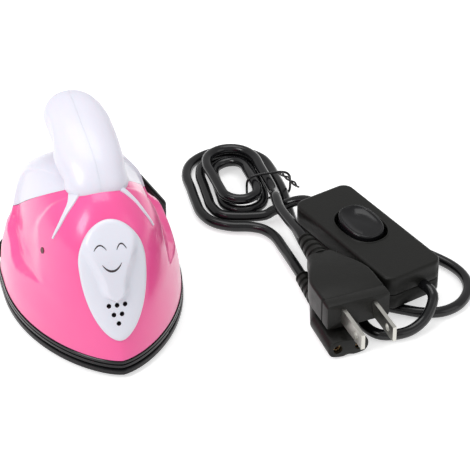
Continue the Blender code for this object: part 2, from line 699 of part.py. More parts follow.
def ring_loft(name, rings, close_start, close_end, collection=None):
    """Quads between neighbouring rings, with the ends closed where asked."""
    bm = bmesh.new()
    grid = [[bm.verts.new(place) for place in ring] for ring in rings]
    count = len(rings[0])
    for first, second in zip(grid, grid[1:]):
        for k in range(count):
            after = (k + 1) % count
            bm.faces.new((first[k], first[after], second[after], second[k]))
    if close_start:
        bm.faces.new(reversed(grid[0]))
    if close_end:
        bm.faces.new(grid[-1])
    return add(name, mesh_of(name, bm), collection)


def make_handle(side, name, parent):
    """Half of the hollow handle, parted along the iron's middle."""
    spine = handle_spine()
    rings = [handle_section(i, spine, HANDLE_SIDES) for i in range(len(spine))]
    half = ring_loft(name, rings, close_start=False, close_end=True)
    wall = half.modifiers.new("wall", "SOLIDIFY")
    wall.thickness = HANDLE_WALL
    wall.offset = -1
    reach = BASE_LENGTH
    near = side * GAP / 2
    far = side * reach
    keep = box(name + "_half_space", (min(near, far), -reach, 0), (max(near, far), reach, reach * 2), CUTTERS)
    cut(half, keep, "INTERSECT")
    smooth(half)
    return finish(half, WHITE_GLOSS, parent)


def make_body(parent):
    """The pink shell: the outer surface with its wall, less the cap, the handle's root and its openings."""
    shell = add("body_shell", body_surface())
    shell_thickness(shell)
    reach = BASE_LENGTH
    cut(shell, box("foot_trim", (-reach, -reach, -reach), (reach, reach, BODY_BOTTOM), CUTTERS))
    cut(shell, cap_side_block("cap_side", True, 0.0))
    cut(shell, handle_root_cutter())
    cut(shell, vent_window())
    for side in (-1, 1):
        middle, half = side * CONTACT_HALF_SPACING, PAD_HALF_WIDTH + GAP
        window = box("pad_window", at(middle - half, PLATE_FRONT - BODY_LENGTH / 8, PAD_LOW - GAP),
                     at(middle + half, PLATE_FRONT, PAD_HIGH + GAP), CUTTERS)
        cut(shell, window)
    start, end = lens_axis()
    way = end - start
    cut(shell, rod("lens_hole", start - way, end + way, LENS_RADIUS + GAP, 16, collection=CUTTERS))
    smooth(shell)
    return finish(shell, PINK_GLOSS, parent)


def make_cap(parent):
    """The white cap over the tail: the same surface, on the other side of the slanted plane."""
    cap = add("rear_cap", body_surface())
    shell_thickness(cap)
    cut(cap, cap_side_block("shell_side", False, -GAP))
    cut(cap, handle_root_cutter())
    smooth(cap)
    return finish(cap, WHITE_GLOSS, parent)


def handle_root_cutter():
    """The handle's outline, a little larger, that opens shell and cap for it."""
    spine = handle_spine()
    rings = [handle_section(i, spine, HANDLE_SIDES, grow=GAP) for i in range(len(spine))]
    return ring_loft("handle_root", rings, True, True, CUTTERS)


def vent_window():
    """The window in the pink shell behind the vent holes of the face panel."""
    middle, half = VENT_TOP_HEIGHT - VENT_ROW_STEP, VENT_WINDOW_HALF_WIDTH
    reach = BODY_LENGTH * VENT_REACH_SHARE
    return box("vent_window", at(-half, -OVERRUN, middle - VENT_WINDOW_HALF_HEIGHT),
               at(half, reach, middle + VENT_WINDOW_HALF_HEIGHT), CUTTERS)


def surface_tree():
    bm = bmesh.new()
    bm.from_mesh(body_surface())
    tree = BVHTree.FromBMesh(bm)
    bm.free()
    return tree


def panel_bump(x, z):
    """How far the rounded chin stands proud of the panel: a smooth dome, cut lower at its end."""
    u = x / (PANEL_HALF_WIDTH * CHIN_WIDTH_SHARE)
    v = (z - BODY_BOTTOM - BODY_HEIGHT * CHIN_CENTRE_SHARE) / (PANEL_UPPER_HEIGHT * CHIN_HEIGHT_SHARE)
    inside = 1 - u * u - v * v
    return CHIN_PROUD * math.sqrt(inside) if inside > 0 else 0.0


def panel_place(tree, ring_share, turn):
    """A place on the panel's underside, found by looking back at the shell from the front."""
    c, s = math.cos(turn), math.sin(turn)
    tall = PANEL_UPPER_HEIGHT if s >= 0 else PANEL_LOWER_HEIGHT
    across = math.copysign(abs(c) ** (1 if s >= 0 else PANEL_TAPER_POWER), c)
    x = PANEL_HALF_WIDTH * across * ring_share
    z = PANEL_CENTRE_HEIGHT + tall * s * ring_share
    hit, normal, _, _ = tree.ray_cast(at(x, -BASE_LENGTH, z), Vector((0, 1, 0)))
    return hit + normal * GAP + Vector((0, -1, 0)) * panel_bump(x, z)


def make_panel(parent):
    """The white egg-shaped panel that lies on the shell's nose."""
    tree = surface_tree()
    bm = bmesh.new()
    middle = bm.verts.new(panel_place(tree, 0.0, 0.0))
    rings = []
    for i in range(1, PANEL_RINGS + 1):
        share = i / PANEL_RINGS
        turns = [2 * math.pi * k / PANEL_SIDES for k in range(PANEL_SIDES)]
        rings.append([bm.verts.new(panel_place(tree, share, turn)) for turn in turns])
    for k in range(PANEL_SIDES):
        after = (k + 1) % PANEL_SIDES
        bm.faces.new((middle, rings[0][k], rings[0][after]))
        for inner, outer in zip(rings, rings[1:]):
            bm.faces.new((inner[k], outer[k], outer[after], inner[after]))
    mesh = bpy.data.meshes.new("face_panel")
    bm.to_mesh(mesh)
    bm.free()
    panel = add("face_panel", mesh)
    wall = panel.modifiers.new("wall", "SOLIDIFY")
    wall.thickness = PANEL_THICKNESS
    wall.offset = 1
    for x, z in vent_places():
        start, end = at(x, -OVERRUN, z), at(x, BODY_LENGTH * VENT_REACH_SHARE, z)
        hole = rod("vent", start, end, VENT_RADIUS, 12, collection=CUTTERS)
        cut(panel, hole)
    smooth(panel)
    return finish(panel, WHITE_GLOSS, parent)


def vent_places():
    """Three holes, then two, then one, in rows going down."""
    places = []
    for row, count in enumerate(VENT_ROW_COUNTS):
        for k in range(count):
            places.append(((k - (count - 1) / 2) * VENT_SPACING, VENT_TOP_HEIGHT - row * VENT_ROW_STEP))
    return places


def make_strip(side, name, parent):
    """A thin white strip laid on the flank, from the handle's root to its tip beside the face."""
    tree = surface_tree()
    root, tip = on_body(STRIP_ROOT_SHARES, side), on_body(STRIP_TIP_SHARES, side)
    along = (tip - root).normalized()
    rings = []
    for k in range(STRIP_STEPS):
        share = k / (STRIP_STEPS - 1)
        hit, normal, _, _ = tree.find_nearest(root.lerp(tip, share))
        wide = along.cross(normal).normalized()
        half_width = STRIP_ROOT_HALF_WIDTH + (STRIP_TIP_HALF_WIDTH - STRIP_ROOT_HALF_WIDTH) * share
        thick = STRIP_ROOT_HALF_THICKNESS + (STRIP_TIP_HALF_THICKNESS - STRIP_ROOT_HALF_THICKNESS) * share
        centre = hit + normal * (thick + GAP)
        rings.append([centre + wide * half_width * math.cos(a) + normal * thick * math.sin(a)
                      for a in (2 * math.pi * j / STRIP_SIDES for j in range(STRIP_SIDES))])
    strip = ring_loft(name, rings, True, True)
    smooth(strip)
    return finish(strip, WHITE_GLOSS, parent)


def lens_axis():
    """Start and end of the indicator lens, square to the left flank."""
    tree = surface_tree()
    hit, normal, _, _ = tree.find_nearest(on_body(LENS_SHARES, -1))
    return hit - normal * (LENS_LENGTH - GAP), hit + normal * GAP


def make_indicator(parent):
    start, end = lens_axis()
    finish(rod("indicator_lens", start, end, LENS_RADIUS, 16), DARK_RED_CLEAR, parent)
    out = (end - start).normalized()
    lamp_end = start - out * GAP
    finish(rod("indicator_lamp", lamp_end - out * LAMP_LENGTH, lamp_end, LAMP_RADIUS, 16), RED_GLOSS, parent)


def make_sole(parent):
    """The pressing plate with its three blind screw holes."""
    outline = inset_plan(SKIRT_NOSE, SKIRT_HALF_WIDTH, SKIRT_REAR, SOLE_INSET)
    sole = slab("soleplate", outline, SOLE_BOTTOM, SOLE_TOP)
    for place in sole_screw_places():
        cut(sole, screw_hole("sole_hole", place, SOLE_TOP - SOLE_SCREW_DEPTH, SOLE_TOP + OVERRUN))
    return finish(sole, STEEL_SATIN, parent)


def screw_hole(name, place, low, high):
    """An upright cutter for one of the sole's screws."""
    start, end = place + Vector((0, 0, low)), place + Vector((0, 0, high))
    return rod(name, start, end, SOLE_SCREW_RADIUS + GAP, 16, collection=CUTTERS)


def sole_screw_places():
    """Where the sole's screws stand: one at the nose and two at the tail."""
    places = [at(0, MOUTH_NOSE - SOLE_SCREW_NOSE_MARGIN, 0)]
    for side in (-1, 1):
        across = side * (MOUTH_HALF_WIDTH - SOLE_SCREW_SIDE_MARGIN)
        places.append(at(across, MOUTH_REAR - SOLE_SCREW_TAIL_MARGIN, 0))
    return places


def make_skirt(parent):
    """The black ring round the sole, with an inner flange on top that carries the sole's screws."""
    outer = (SKIRT_NOSE, SKIRT_HALF_WIDTH, SKIRT_REAR)
    skirt = slab("heat_skirt", plan(*outer), SKIRT_BOTTOM, SKIRT_TOP)
    well = slab("skirt_well", inset_plan(*outer, SKIRT_WALL), SKIRT_BOTTOM - OVERRUN, FLANGE_BOTTOM, CUTTERS)
    mouth = slab("skirt_mouth", inset_plan(*outer, MOUTH_INSET), FLANGE_BOTTOM - OVERRUN,
                 SKIRT_TOP + OVERRUN, CUTTERS)
    cut(skirt, well)
    cut(skirt, mouth)
    for place in sole_screw_places():
        cut(skirt, screw_hole("flange_hole", place, FLANGE_BOTTOM - OVERRUN, SKIRT_TOP + OVERRUN))
    return finish(skirt, BLACK_GLOSS, parent)


def turned_screw(name, place, axis, shank_radius, shank_length, head_radius, head_height):
    """A pan-headed screw: the profile of head and shank, turned about the axis; place is under the head."""
    profile = (
        (head_radius * SCREW_CROWN_SHARE, head_height), (head_radius, head_height * SCREW_RIM_SHARE),
        (head_radius, 0.0), (shank_radius, 0.0), (shank_radius, -shank_length * SCREW_THREAD_SHARE),
        (shank_radius * SCREW_POINT_SHARE, -shank_length),
    )
    bm = bmesh.new()
    rings = []
    for radius, height in profile:
        turns = [2 * math.pi * k / SCREW_SIDES for k in range(SCREW_SIDES)]
        rings.append([bm.verts.new((radius * math.cos(a), radius * math.sin(a), height)) for a in turns])
    for upper, lower in zip(rings, rings[1:]):
        for k in range(SCREW_SIDES):
            after = (k + 1) % SCREW_SIDES
            bm.faces.new((lower[k], lower[after], upper[after], upper[k]))
    bm.faces.new(rings[0])
    bm.faces.new(reversed(rings[-1]))
    screw = add(name, mesh_of(name, bm))
    screw.rotation_mode = "QUATERNION"
    screw.rotation_quaternion = axis.to_track_quat("Z", "Y")
    screw.location = place
    return screw


def make_sole_screws(parent):
    up = Vector((0, 0, 1))
    length = SKIRT_TOP + GAP - (SOLE_TOP - SOLE_SCREW_DEPTH) - GAP
    for number, place in enumerate(sole_screw_places(), 1):
        seat = place + up * (SKIRT_TOP + GAP)
        screw = turned_screw(f"sole_screw_{number}", seat, up, SOLE_SCREW_RADIUS, length,
                             SOLE_SCREW_HEAD_RADIUS, SOLE_SCREW_HEAD)
        finish(screw, STEEL_SATIN, parent)


def mouth_half_width(behind):
    """Half width of the flange's mouth at a distance behind the nose, ahead of the widest place."""
    along = (TRAY_WIDEST - behind) / (TRAY_WIDEST - MOUTH_NOSE)
    return MOUTH_HALF_WIDTH * (1 - along * along) ** (NOSE_POWER / 2)


def heater_span():
    """Front and rear of the heater block: from where the flange's mouth is wide enough to the thermostat."""
    across = (HEATER_WIDTH / 2 / MOUTH_HALF_WIDTH) ** (1 / NOSE_POWER)
    front = TRAY_WIDEST - (TRAY_WIDEST - MOUTH_NOSE) * math.sqrt(1 - across * across) + HEATER_CLEARANCE
    return front, THERMOSTAT_BEHIND - THERMOSTAT_RADIUS - THERMOSTAT_SPACING


def make_heater(parent):
    """The heater block on the sole, the spring strip over it, the thermostat and the thermal fuse."""
    bottom = SOLE_TOP + GAP
    top = bottom + HEATER_THICKNESS
    front, rear = heater_span()
    block = box("heater_block", at(-HEATER_WIDTH / 2, front, bottom), at(HEATER_WIDTH / 2, rear, top))
    bevel(block, HEATER_EDGE, 1)
    finish(block, CREAM_MATT, parent)
    middle = (front + rear) / 2
    y_low, y_high = middle - CLAMP_WIDTH / 2, middle + CLAMP_WIDTH / 2
    half = mouth_half_width(y_low) - CLAMP_CLEARANCE - CLAMP_FOOT
    strip_bottom = top + GAP
    inner = half - CLAMP_THICKNESS
    profile = ((-half - CLAMP_FOOT, bottom), (-inner, bottom), (-inner, strip_bottom), (inner, strip_bottom),
               (inner, bottom), (half + CLAMP_FOOT, bottom), (half + CLAMP_FOOT, bottom + CLAMP_THICKNESS),
               (half, bottom + CLAMP_THICKNESS), (half, strip_bottom + CLAMP_THICKNESS),
               (-half, strip_bottom + CLAMP_THICKNESS), (-half, bottom + CLAMP_THICKNESS),
               (-half - CLAMP_FOOT, bottom + CLAMP_THICKNESS))
    clamp = upright_slab("heater_clamp", profile, y_low, y_high)
    finish(clamp, STEEL_SATIN, parent)
    seat = at(0, THERMOSTAT_BEHIND, bottom)
    rise = Vector((0, 0, THERMOSTAT_HEIGHT))
    finish(rod("thermostat", seat, seat + rise, THERMOSTAT_RADIUS, 24), STEEL_SATIN, parent)
    fuse_height = top + GAP + FUSE_RADIUS
    fuse_behind = y_low - FUSE_SPACING - FUSE_RADIUS
    fuse = rod("thermal_fuse", at(-FUSE_LENGTH / 2, fuse_behind, fuse_height),
               at(FUSE_LENGTH / 2, fuse_behind, fuse_height), FUSE_RADIUS, 16)
    finish(fuse, CREAM_MATT, parent)


def upright_slab(name, profile, front, rear, collection=None):
    """A flat outline of (across, height) places, standing upright between two distances behind the nose."""
    item = slab(name, profile, front, rear, collection)
    bpy.context.view_layer.update()
    stand = Matrix.Rotation(math.radians(90), 4, "X")
    lift = Matrix.Scale(-1, 4, (0, 1, 0))
    item.data.transform(lift @ stand @ item.matrix_world)
    item.matrix_world = Matrix.Translation(at(0, 0, 0))
    bm = bmesh.new()
    bm.from_mesh(item.data)
    bmesh.ops.recalc_face_normals(bm, faces=bm.faces)
    bm.to_mesh(item.data)
    bm.free()
    return item


def make_pads(parent):
    """The two contact pads in the shell's tail and the leads from them to the heater."""
    for side, name in ((-1, "left"), (1, "right")):
        centre = side * CONTACT_HALF_SPACING
        rear = BODY_REAR + GAP
        front = rear - SHELL_WALL - PAD_THICKNESS
        pad = box("contact_pad_" + name, at(centre - PAD_HALF_WIDTH, front, PAD_LOW),
                  at(centre + PAD_HALF_WIDTH, rear, PAD_HIGH))
        finish(pad, BRASS_SATIN, parent)
        start = Vector(pad.location)
        inside = front - GAP
        height = start.z
        heater_rear = heater_span()[1] + GAP
        heater_height = SOLE_TOP + GAP + HEATER_THICKNESS / 2
        midway, inner = (centre * share for share in LEAD_INWARD_SHARES)
        route = [(centre, inside, height), (centre, inside - LEAD_RADIUS * 3, height),
                 (midway, (inside + heater_rear) / 2, (height + heater_height) / 2),
                 (inner, heater_rear + LEAD_RADIUS * 3, heater_height), (inner, heater_rear, heater_height)]
        lead = tube("lead_wire_" + name, catmull(route, 4), LEAD_RADIUS * 2)
        finish(lead, RED_GLOSS if side < 0 else BLACK_MATT, parent)


def tube(name, route, diameter, resolution=CORD_SIDES_RESOLUTION, cyclic=False):
    """A round cord along places given across, behind and height."""
    curve = bpy.data.curves.new(name, "CURVE")
    curve.dimensions = "3D"
    curve.bevel_depth = diameter / 2
    curve.bevel_resolution = resolution
    curve.use_fill_caps = not cyclic
    spline = curve.splines.new("POLY")
    spline.points.add(len(route) - 1)
    for point, place in zip(spline.points, route):
        point.co = (*at(*place), 1)
    spline.use_cyclic_u = cyclic
    drawn = bpy.data.objects.new(name, curve)
    PARTS.objects.link(drawn)
    return drawn


def even_route(points, step):
    """Places a step apart along the smooth curve through the points, with the straight ends kept."""
    fine = [Vector(p) for p in catmull(points, 12)[12:-12]]
    lengths = [0.0]
    for first, second in zip(fine, fine[1:]):
        lengths.append(lengths[-1] + (second - first).length)
    count = max(round(lengths[-1] / step), 2)
    places = []
    k = 0
    for i in range(count + 1):
        wanted = lengths[-1] * i / count
        while k < len(fine) - 2 and lengths[k + 1] < wanted:
            k += 1
        share = (wanted - lengths[k]) / max(lengths[k + 1] - lengths[k], OVERRUN * 1e-6)
        places.append(tuple(fine[k].lerp(fine[k + 1], min(share, 1.0))))
    return [tuple(points[0]), *places, tuple(points[-1])]


def make_tray(parent):
    """The base tray: a floor with a low rim, open where the back plate stands."""
    tray = slab("base_tray", plan(0, TRAY_HALF_WIDTH, TRAY_REAR), FLOOR_BOTTOM, RIM_TOP)
    rear = TRAY_REAR + OVERRUN
    well = slab("tray_well", plan(2 * TRAY_RIM_WALL, TRAY_HALF_WIDTH - TRAY_RIM_WALL, rear), FLOOR_TOP,
                RIM_TOP + OVERRUN, CUTTERS)
    cut(tray, well)
    finish(tray, BLACK_GLOSS, parent)
    sheet_plan = inset_plan(SKIRT_NOSE, SKIRT_HALF_WIDTH, SKIRT_REAR, HEAT_SHEET_INSET)
    sheet = slab("heat_sheet", sheet_plan, SHEET_BOTTOM, SHEET_TOP)
    finish(sheet, CREAM_MATT, parent)
    places = [(side * TRAY_HALF_WIDTH * across, BODY_NOSE + BODY_LENGTH * behind)
              for across, behind in FOOT_PLACE_SHARES for side in (-1, 1)]
    for number, (x, behind) in enumerate(places, 1):
        foot = rod(f"base_foot_{number}", at(x, behind, 0), at(x, behind, FOOT_HEIGHT), FOOT_RADIUS, 20)
        finish(foot, BLACK_RUBBER, parent)


def make_back(parent):
    """The back plate with chamfered shoulders, and the housing behind it."""
    low = FLOOR_TOP + GAP
    half = PLATE_HALF_WIDTH
    outline = ((-half, low), (half, low), (half, PLATE_RIGHT_SHOULDER), (PLATE_RIGHT_TOP_WIDTH, PLATE_TOP),
               (-PLATE_LEFT_TOP_WIDTH, PLATE_TOP), (-PLATE_LEFT_STEP_WIDTH, PLATE_LEFT_STEP_HEIGHT),
               (-half, PLATE_LEFT_SHOULDER))
    plate = upright_slab("back_plate", outline, PLATE_FRONT, PLATE_REAR)
    bevel(plate, PLATE_CORNER, 2, 20)
    for side in (-1, 1):
        centre = side * CONTACT_HALF_SPACING
        around = CONTACT_HALF_WIDTH + GAP
        slot = box("blade_slot", at(centre - around, PLATE_FRONT - OVERRUN, CONTACT_LOW - GAP),
                   at(centre + around, PLATE_REAR + OVERRUN, CONTACT_HIGH + GAP), CUTTERS)
        cut(plate, slot)
    finish(plate, BLACK_GLOSS, parent)
    width = HOUSING_HALF_WIDTH
    housing = box("inlet_housing", at(-width, HOUSING_FRONT, low), at(width, HOUSING_REAR, HOUSING_TOP))
    inner = width - HOUSING_WALL
    hollow = box("housing_hollow", at(-inner, HOUSING_FRONT - OVERRUN, low + HOUSING_WALL),
                 at(inner, HOUSING_REAR - HOUSING_WALL, HOUSING_TOP - HOUSING_WALL), CUTTERS)
    bevel(housing, PLATE_CORNER, 2)
    cut(housing, hollow)
    cut(housing, figure_eight("inlet_hole", INLET_WALL + GAP, HOUSING_REAR - HOUSING_WALL - OVERRUN,
                              HOUSING_REAR + OVERRUN))
    for side in (-1, 1):
        place = at(side * BASE_SCREW_HALF_SPACING, HOUSING_REAR, BASE_SCREW_HEIGHT)
        hole = rod("housing_screw_hole", place - Vector((0, OVERRUN * 2, 0)), place + Vector((0, OVERRUN, 0)),
                   BASE_SCREW_RADIUS + GAP, 12, collection=CUTTERS)
        cut(housing, hole)
    finish(housing, BLACK_GLOSS, parent)
    for side, name in ((-1, "left"), (1, "right")):
        place = at(side * BASE_SCREW_HALF_SPACING, HOUSING_REAR + GAP, BASE_SCREW_HEIGHT)
        screw = turned_screw("housing_screw_" + name, place, Vector((0, 1, 0)), BASE_SCREW_RADIUS,
                             HOUSING_WALL * 2, BASE_SCREW_HEAD_RADIUS, BASE_SCREW_HEAD)
        finish(screw, STEEL_SATIN, parent)


def figure_eight(name, grow, front, rear, collection=None):
    """The rounded outline of the inlet, standing upright."""
    half_width = INLET_HALF_WIDTH + grow
    radius = INLET_HALF_HEIGHT + grow
    outline = []
    for side in (1, -1):
        for k in range(ROUND_END_STEPS + 1):
            angle = side * math.pi / 2 * (2 * k / ROUND_END_STEPS - 1)
            across = side * (half_width - radius + radius * math.cos(angle))
            outline.append((across, INLET_CENTRE_HEIGHT + side * radius * math.sin(angle * side)))
    return upright_slab(name, outline, front, rear, collection or CUTTERS)


def make_inlet(parent):
    """The inlet's well with two pins, and the blades that carry the current to the iron's tail."""
    front = INLET_FRONT
    socket = figure_eight("inlet_socket", INLET_WALL, front, HOUSING_REAR, PARTS)
    cut(socket, figure_eight("inlet_well", 0.0, front + INLET_WALL, HOUSING_REAR + OVERRUN))
    for side in (-1, 1):
        x = side * INLET_PIN_HALF_SPACING
        hole = rod("pin_hole", at(x, front - OVERRUN, INLET_CENTRE_HEIGHT),
                   at(x, front + INLET_WALL + OVERRUN, INLET_CENTRE_HEIGHT), INLET_PIN_RADIUS + GAP, 16,
                   collection=CUTTERS)
        cut(socket, hole)
    finish(socket, BLACK_GLOSS, parent)
    for side, name in ((-1, "left"), (1, "right")):
        x = side * INLET_PIN_HALF_SPACING
        start = front - GAP
        pin = rod("inlet_pin_" + name, at(x, start, INLET_CENTRE_HEIGHT),
                  at(x, start + INLET_PIN_LENGTH, INLET_CENTRE_HEIGHT), INLET_PIN_RADIUS, 16)
        finish(pin, BRASS_SATIN, parent)
    for side, name in ((-1, "left"), (1, "right")):
        centre = side * CONTACT_HALF_SPACING
        blade = box("contact_blade_" + name, at(centre - CONTACT_HALF_WIDTH, PLATE_FRONT, CONTACT_LOW),
                    at(centre + CONTACT_HALF_WIDTH, HOUSING_FRONT + CONTACT_THICKNESS, CONTACT_HIGH))
        finish(blade, BRASS_SATIN, parent)


def switch_axes():
    """Unit vectors along and across the switch box, and its centre on the surface."""
    along = Vector((math.sin(SWITCH_TURN), -math.cos(SWITCH_TURN), 0))
    across = Vector((math.cos(SWITCH_TURN), math.sin(SWITCH_TURN), 0))
    return along, across, at(*SWITCH_CENTRE, 0)


def switch_box(name, low, high, length, width, collection=None):
    """An upright block of the switch's plan, turned to its place."""
    _, _, centre = switch_axes()
    corner = Vector((width / 2, length / 2, 0))
    up = Vector((0, 0, 1))
    item = box(name, centre - corner + up * low, centre + corner + up * high, collection)
    turn_about(item, centre, SWITCH_TURN)
    return item


def rocker_outline(grow):
    return [((ROCKER_HALF_WIDTH + grow) * math.cos(a), (ROCKER_HALF_LENGTH + grow) * math.sin(a))
            for a in (2 * math.pi * k / ROCKER_SIDES for k in range(ROCKER_SIDES))]


def make_switch(parent, rocker_frame):
    """The two halves of the switch box, the rocker on its pin, the terminals and the screws."""
    along, across, centre = switch_axes()
    rocker_place = centre - along * ROCKER_OFFSET
    inner_length, inner_width = SWITCH_LENGTH - 2 * SWITCH_WALL, SWITCH_WIDTH - 2 * SWITCH_WALL
    lower = switch_box("switch_base", SWITCH_BOTTOM, SWITCH_SPLIT - GAP / 2, SWITCH_LENGTH, SWITCH_WIDTH)
    upper = switch_box("switch_cover", SWITCH_SPLIT + GAP / 2, SWITCH_TOP, SWITCH_LENGTH, SWITCH_WIDTH)
    for half, low, high in ((lower, SWITCH_BOTTOM + SWITCH_WALL, SWITCH_SPLIT + OVERRUN),
                            (upper, SWITCH_SPLIT - OVERRUN, SWITCH_TOP - SWITCH_WALL)):
        bevel(half, SWITCH_CORNER / 2, 2)
        cut(half, switch_box("switch_hollow", low, high, inner_length, inner_width, CUTTERS))
        for end, offset in ((1, SWITCH_NOTCH_OFFSET), (-1, 0.0)):
            mouth = centre + along * end * SWITCH_LENGTH / 2 + across * offset
            mouth += Vector((0, 0, SWITCH_CORD_HEIGHT))
            hole = rod("cord_hole", mouth - along * SWITCH_WALL * 2, mouth + along * SWITCH_WALL * 2,
                       CORD_DIAMETER / 2 + GAP, 16, collection=CUTTERS)
            cut(half, hole)
    opening = slab("rocker_opening", rocker_outline(ROCKER_CLEARANCE), SWITCH_TOP - SWITCH_WALL - OVERRUN,
                   SWITCH_TOP + OVERRUN, CUTTERS)
    opening.location += Vector((rocker_place.x, rocker_place.y, 0))
    turn_about(opening, Vector((rocker_place.x, rocker_place.y, 0)), SWITCH_TURN)
    cut(upper, opening)
    finish(lower, BLACK_MATT, parent)
    finish(upper, BLACK_MATT, parent)

    axis_place = rocker_place + Vector((0, 0, SWITCH_TOP - SWITCH_WALL - ROCKER_AXIS_DROP))
    rocker_frame.location = axis_place
    rocker_frame.rotation_euler = (0, 0, SWITCH_TURN)
    bpy.context.view_layer.update()
    rocker_top = SWITCH_TOP + ROCKER_PROUD
    rocker = slab("switch_rocker", rocker_outline(0.0), rocker_top - ROCKER_DEPTH, rocker_top)
    bevel(rocker, ROCKER_CLEARANCE, 2, 50)
    rocker.location += Vector((rocker_place.x, rocker_place.y, 0))
    turn_about(rocker, Vector((rocker_place.x, rocker_place.y, 0)), SWITCH_TURN)
    tilt(rocker, axis_place, across, ROCKER_TILT)
    reach = across * (ROCKER_HALF_WIDTH + OVERRUN)
    bore_radius = ROCKER_PIN_RADIUS + GAP
    bore = rod("rocker_bore", axis_place - reach, axis_place + reach, bore_radius, 16, collection=CUTTERS)
    cut(rocker, bore)
    finish(rocker, BLACK_GLOSS, rocker_frame)
    half_pin = across * ROCKER_PIN_HALF_LENGTH
    pin = rod("rocker_pin", axis_place - half_pin, axis_place + half_pin, ROCKER_PIN_RADIUS, 16)
    finish(pin, STEEL_SATIN, parent)
    for end, name in ((-1, "rear"), (1, "front")):
        place = centre + along * end * TERMINAL_OFFSET
        foot = SWITCH_BOTTOM + SWITCH_WALL + GAP
        low = place + Vector((-TERMINAL_WIDTH / 2, -TERMINAL_LENGTH / 2, foot))
        size = Vector((TERMINAL_WIDTH, TERMINAL_LENGTH, TERMINAL_HEIGHT))
        block = box("switch_terminal_" + name, low, low + size)
        turn_about(block, place, SWITCH_TURN)
        finish(block, BRASS_SATIN, parent)


def tilt(item, place, axis, angle):
    """Turns an object about a level axis through a place."""
    bpy.context.view_layer.update()
    spin = Matrix.Translation(place) @ Matrix.Rotation(angle, 4, axis) @ Matrix.Translation(-place)
    item.matrix_world = spin @ item.matrix_world


def make_plug(parent):
    """The flat two-pin plug: a body that widens to its face, two blades and a grooved strain relief."""
    out = Vector((math.sin(PLUG_TURN), -math.cos(PLUG_TURN), 0))
    across = Vector((math.cos(PLUG_TURN), math.sin(PLUG_TURN), 0))
    up = Vector((0, 0, 1))
    face = at(*PLUG_FACE, PLUG_BOTTOM + PLUG_THICKNESS / 2)
    stations = [(share, PLUG_FACE_HALF_WIDTH * wide, PLUG_THICKNESS * thick)
                for share, wide, thick in PLUG_STATION_SHARES]
    stations.append((1.0, PLUG_NECK_HALF_WIDTH, PLUG_NECK_THICKNESS))
    rings = []
    for share, half_width, thickness in reversed(stations):
        centre = face - out * PLUG_LENGTH * share
        half = thickness / 2
        rings.append([centre + across * half_width * x + up * half * z for x, z in PLUG_SECTION_SHARES])
    body = ring_loft("plug_body", rings, True, True)
    for side in (-1, 1):
        root = face + across * side * PRONG_HALF_SPACING
        slot = oriented_box("prong_slot", root - out * PRONG_LENGTH / 4, root + out * OVERRUN, across, up,
                            PRONG_THICKNESS / 2 + GAP, PRONG_WIDTH / 2 + GAP, CUTTERS)
        cut(body, slot)
    finish(body, BLACK_MATT, parent)
    for side, name in ((-1, "left"), (1, "right")):
        root = face + across * side * PRONG_HALF_SPACING
        heel, tip = root - out * (PRONG_LENGTH / 4 - GAP), root + out * PRONG_LENGTH
        half_across, half_up = PRONG_THICKNESS / 2, PRONG_WIDTH / 2
        blade = oriented_box("plug_blade_" + name, heel, tip, across, up, half_across, half_up)
        eye = root + out * (PRONG_LENGTH - PRONG_HOLE_FROM_TIP)
        through = across * OVERRUN
        hole = rod("prong_hole", eye - through, eye + through, PRONG_HOLE_RADIUS, 16, collection=CUTTERS)
        cut(blade, hole)
        finish(blade, STEEL_SATIN, parent)
    neck = face - out * (PLUG_LENGTH + GAP)
    relief = relief_tube("plug_relief", neck, -out, RELIEF_LENGTH, RELIEF_ROOT_RADIUS, RELIEF_TIP_RADIUS)
    finish(relief, BLACK_MATT, parent)


def oriented_box(name, start, end, across, up, half_across, half_up, collection=None):
    """A bar with a rectangular section between two places."""
    rings = []
    for place in (start, end):
        corners = ((-1, -1), (1, -1), (1, 1), (-1, 1))
        rings.append([place + across * half_across * x + up * half_up * z for x, z in corners])
    return ring_loft(name, rings, True, True, collection)


def relief_tube(name, start, direction, length, root_radius, tip_radius):
    """A tapering strain relief with grooves round it, hollow for the cord's end."""
    across = direction.cross(Vector((0, 0, 1))).normalized()
    up = across.cross(direction).normalized()
    profile = [(0.0, root_radius)]
    for k in range(RELIEF_RIBS):
        groove = (k + RELIEF_FIRST_SHARE) / (RELIEF_RIBS + RELIEF_SPACING_SHARE)
        for shift, depth in RELIEF_GROOVE_SHARES:
            share = groove + shift
            profile.append((share, root_radius + (tip_radius - root_radius) * share - depth * RELIEF_GROOVE))
    profile.append((1.0, tip_radius))
    rings = []
    for share, radius in profile:
        centre = start + direction * length * share
        rings.append([centre + (across * math.cos(a) + up * math.sin(a)) * radius
                      for a in (2 * math.pi * j / RELIEF_SIDES for j in range(RELIEF_SIDES))])
    return ring_loft(name, rings, True, True)


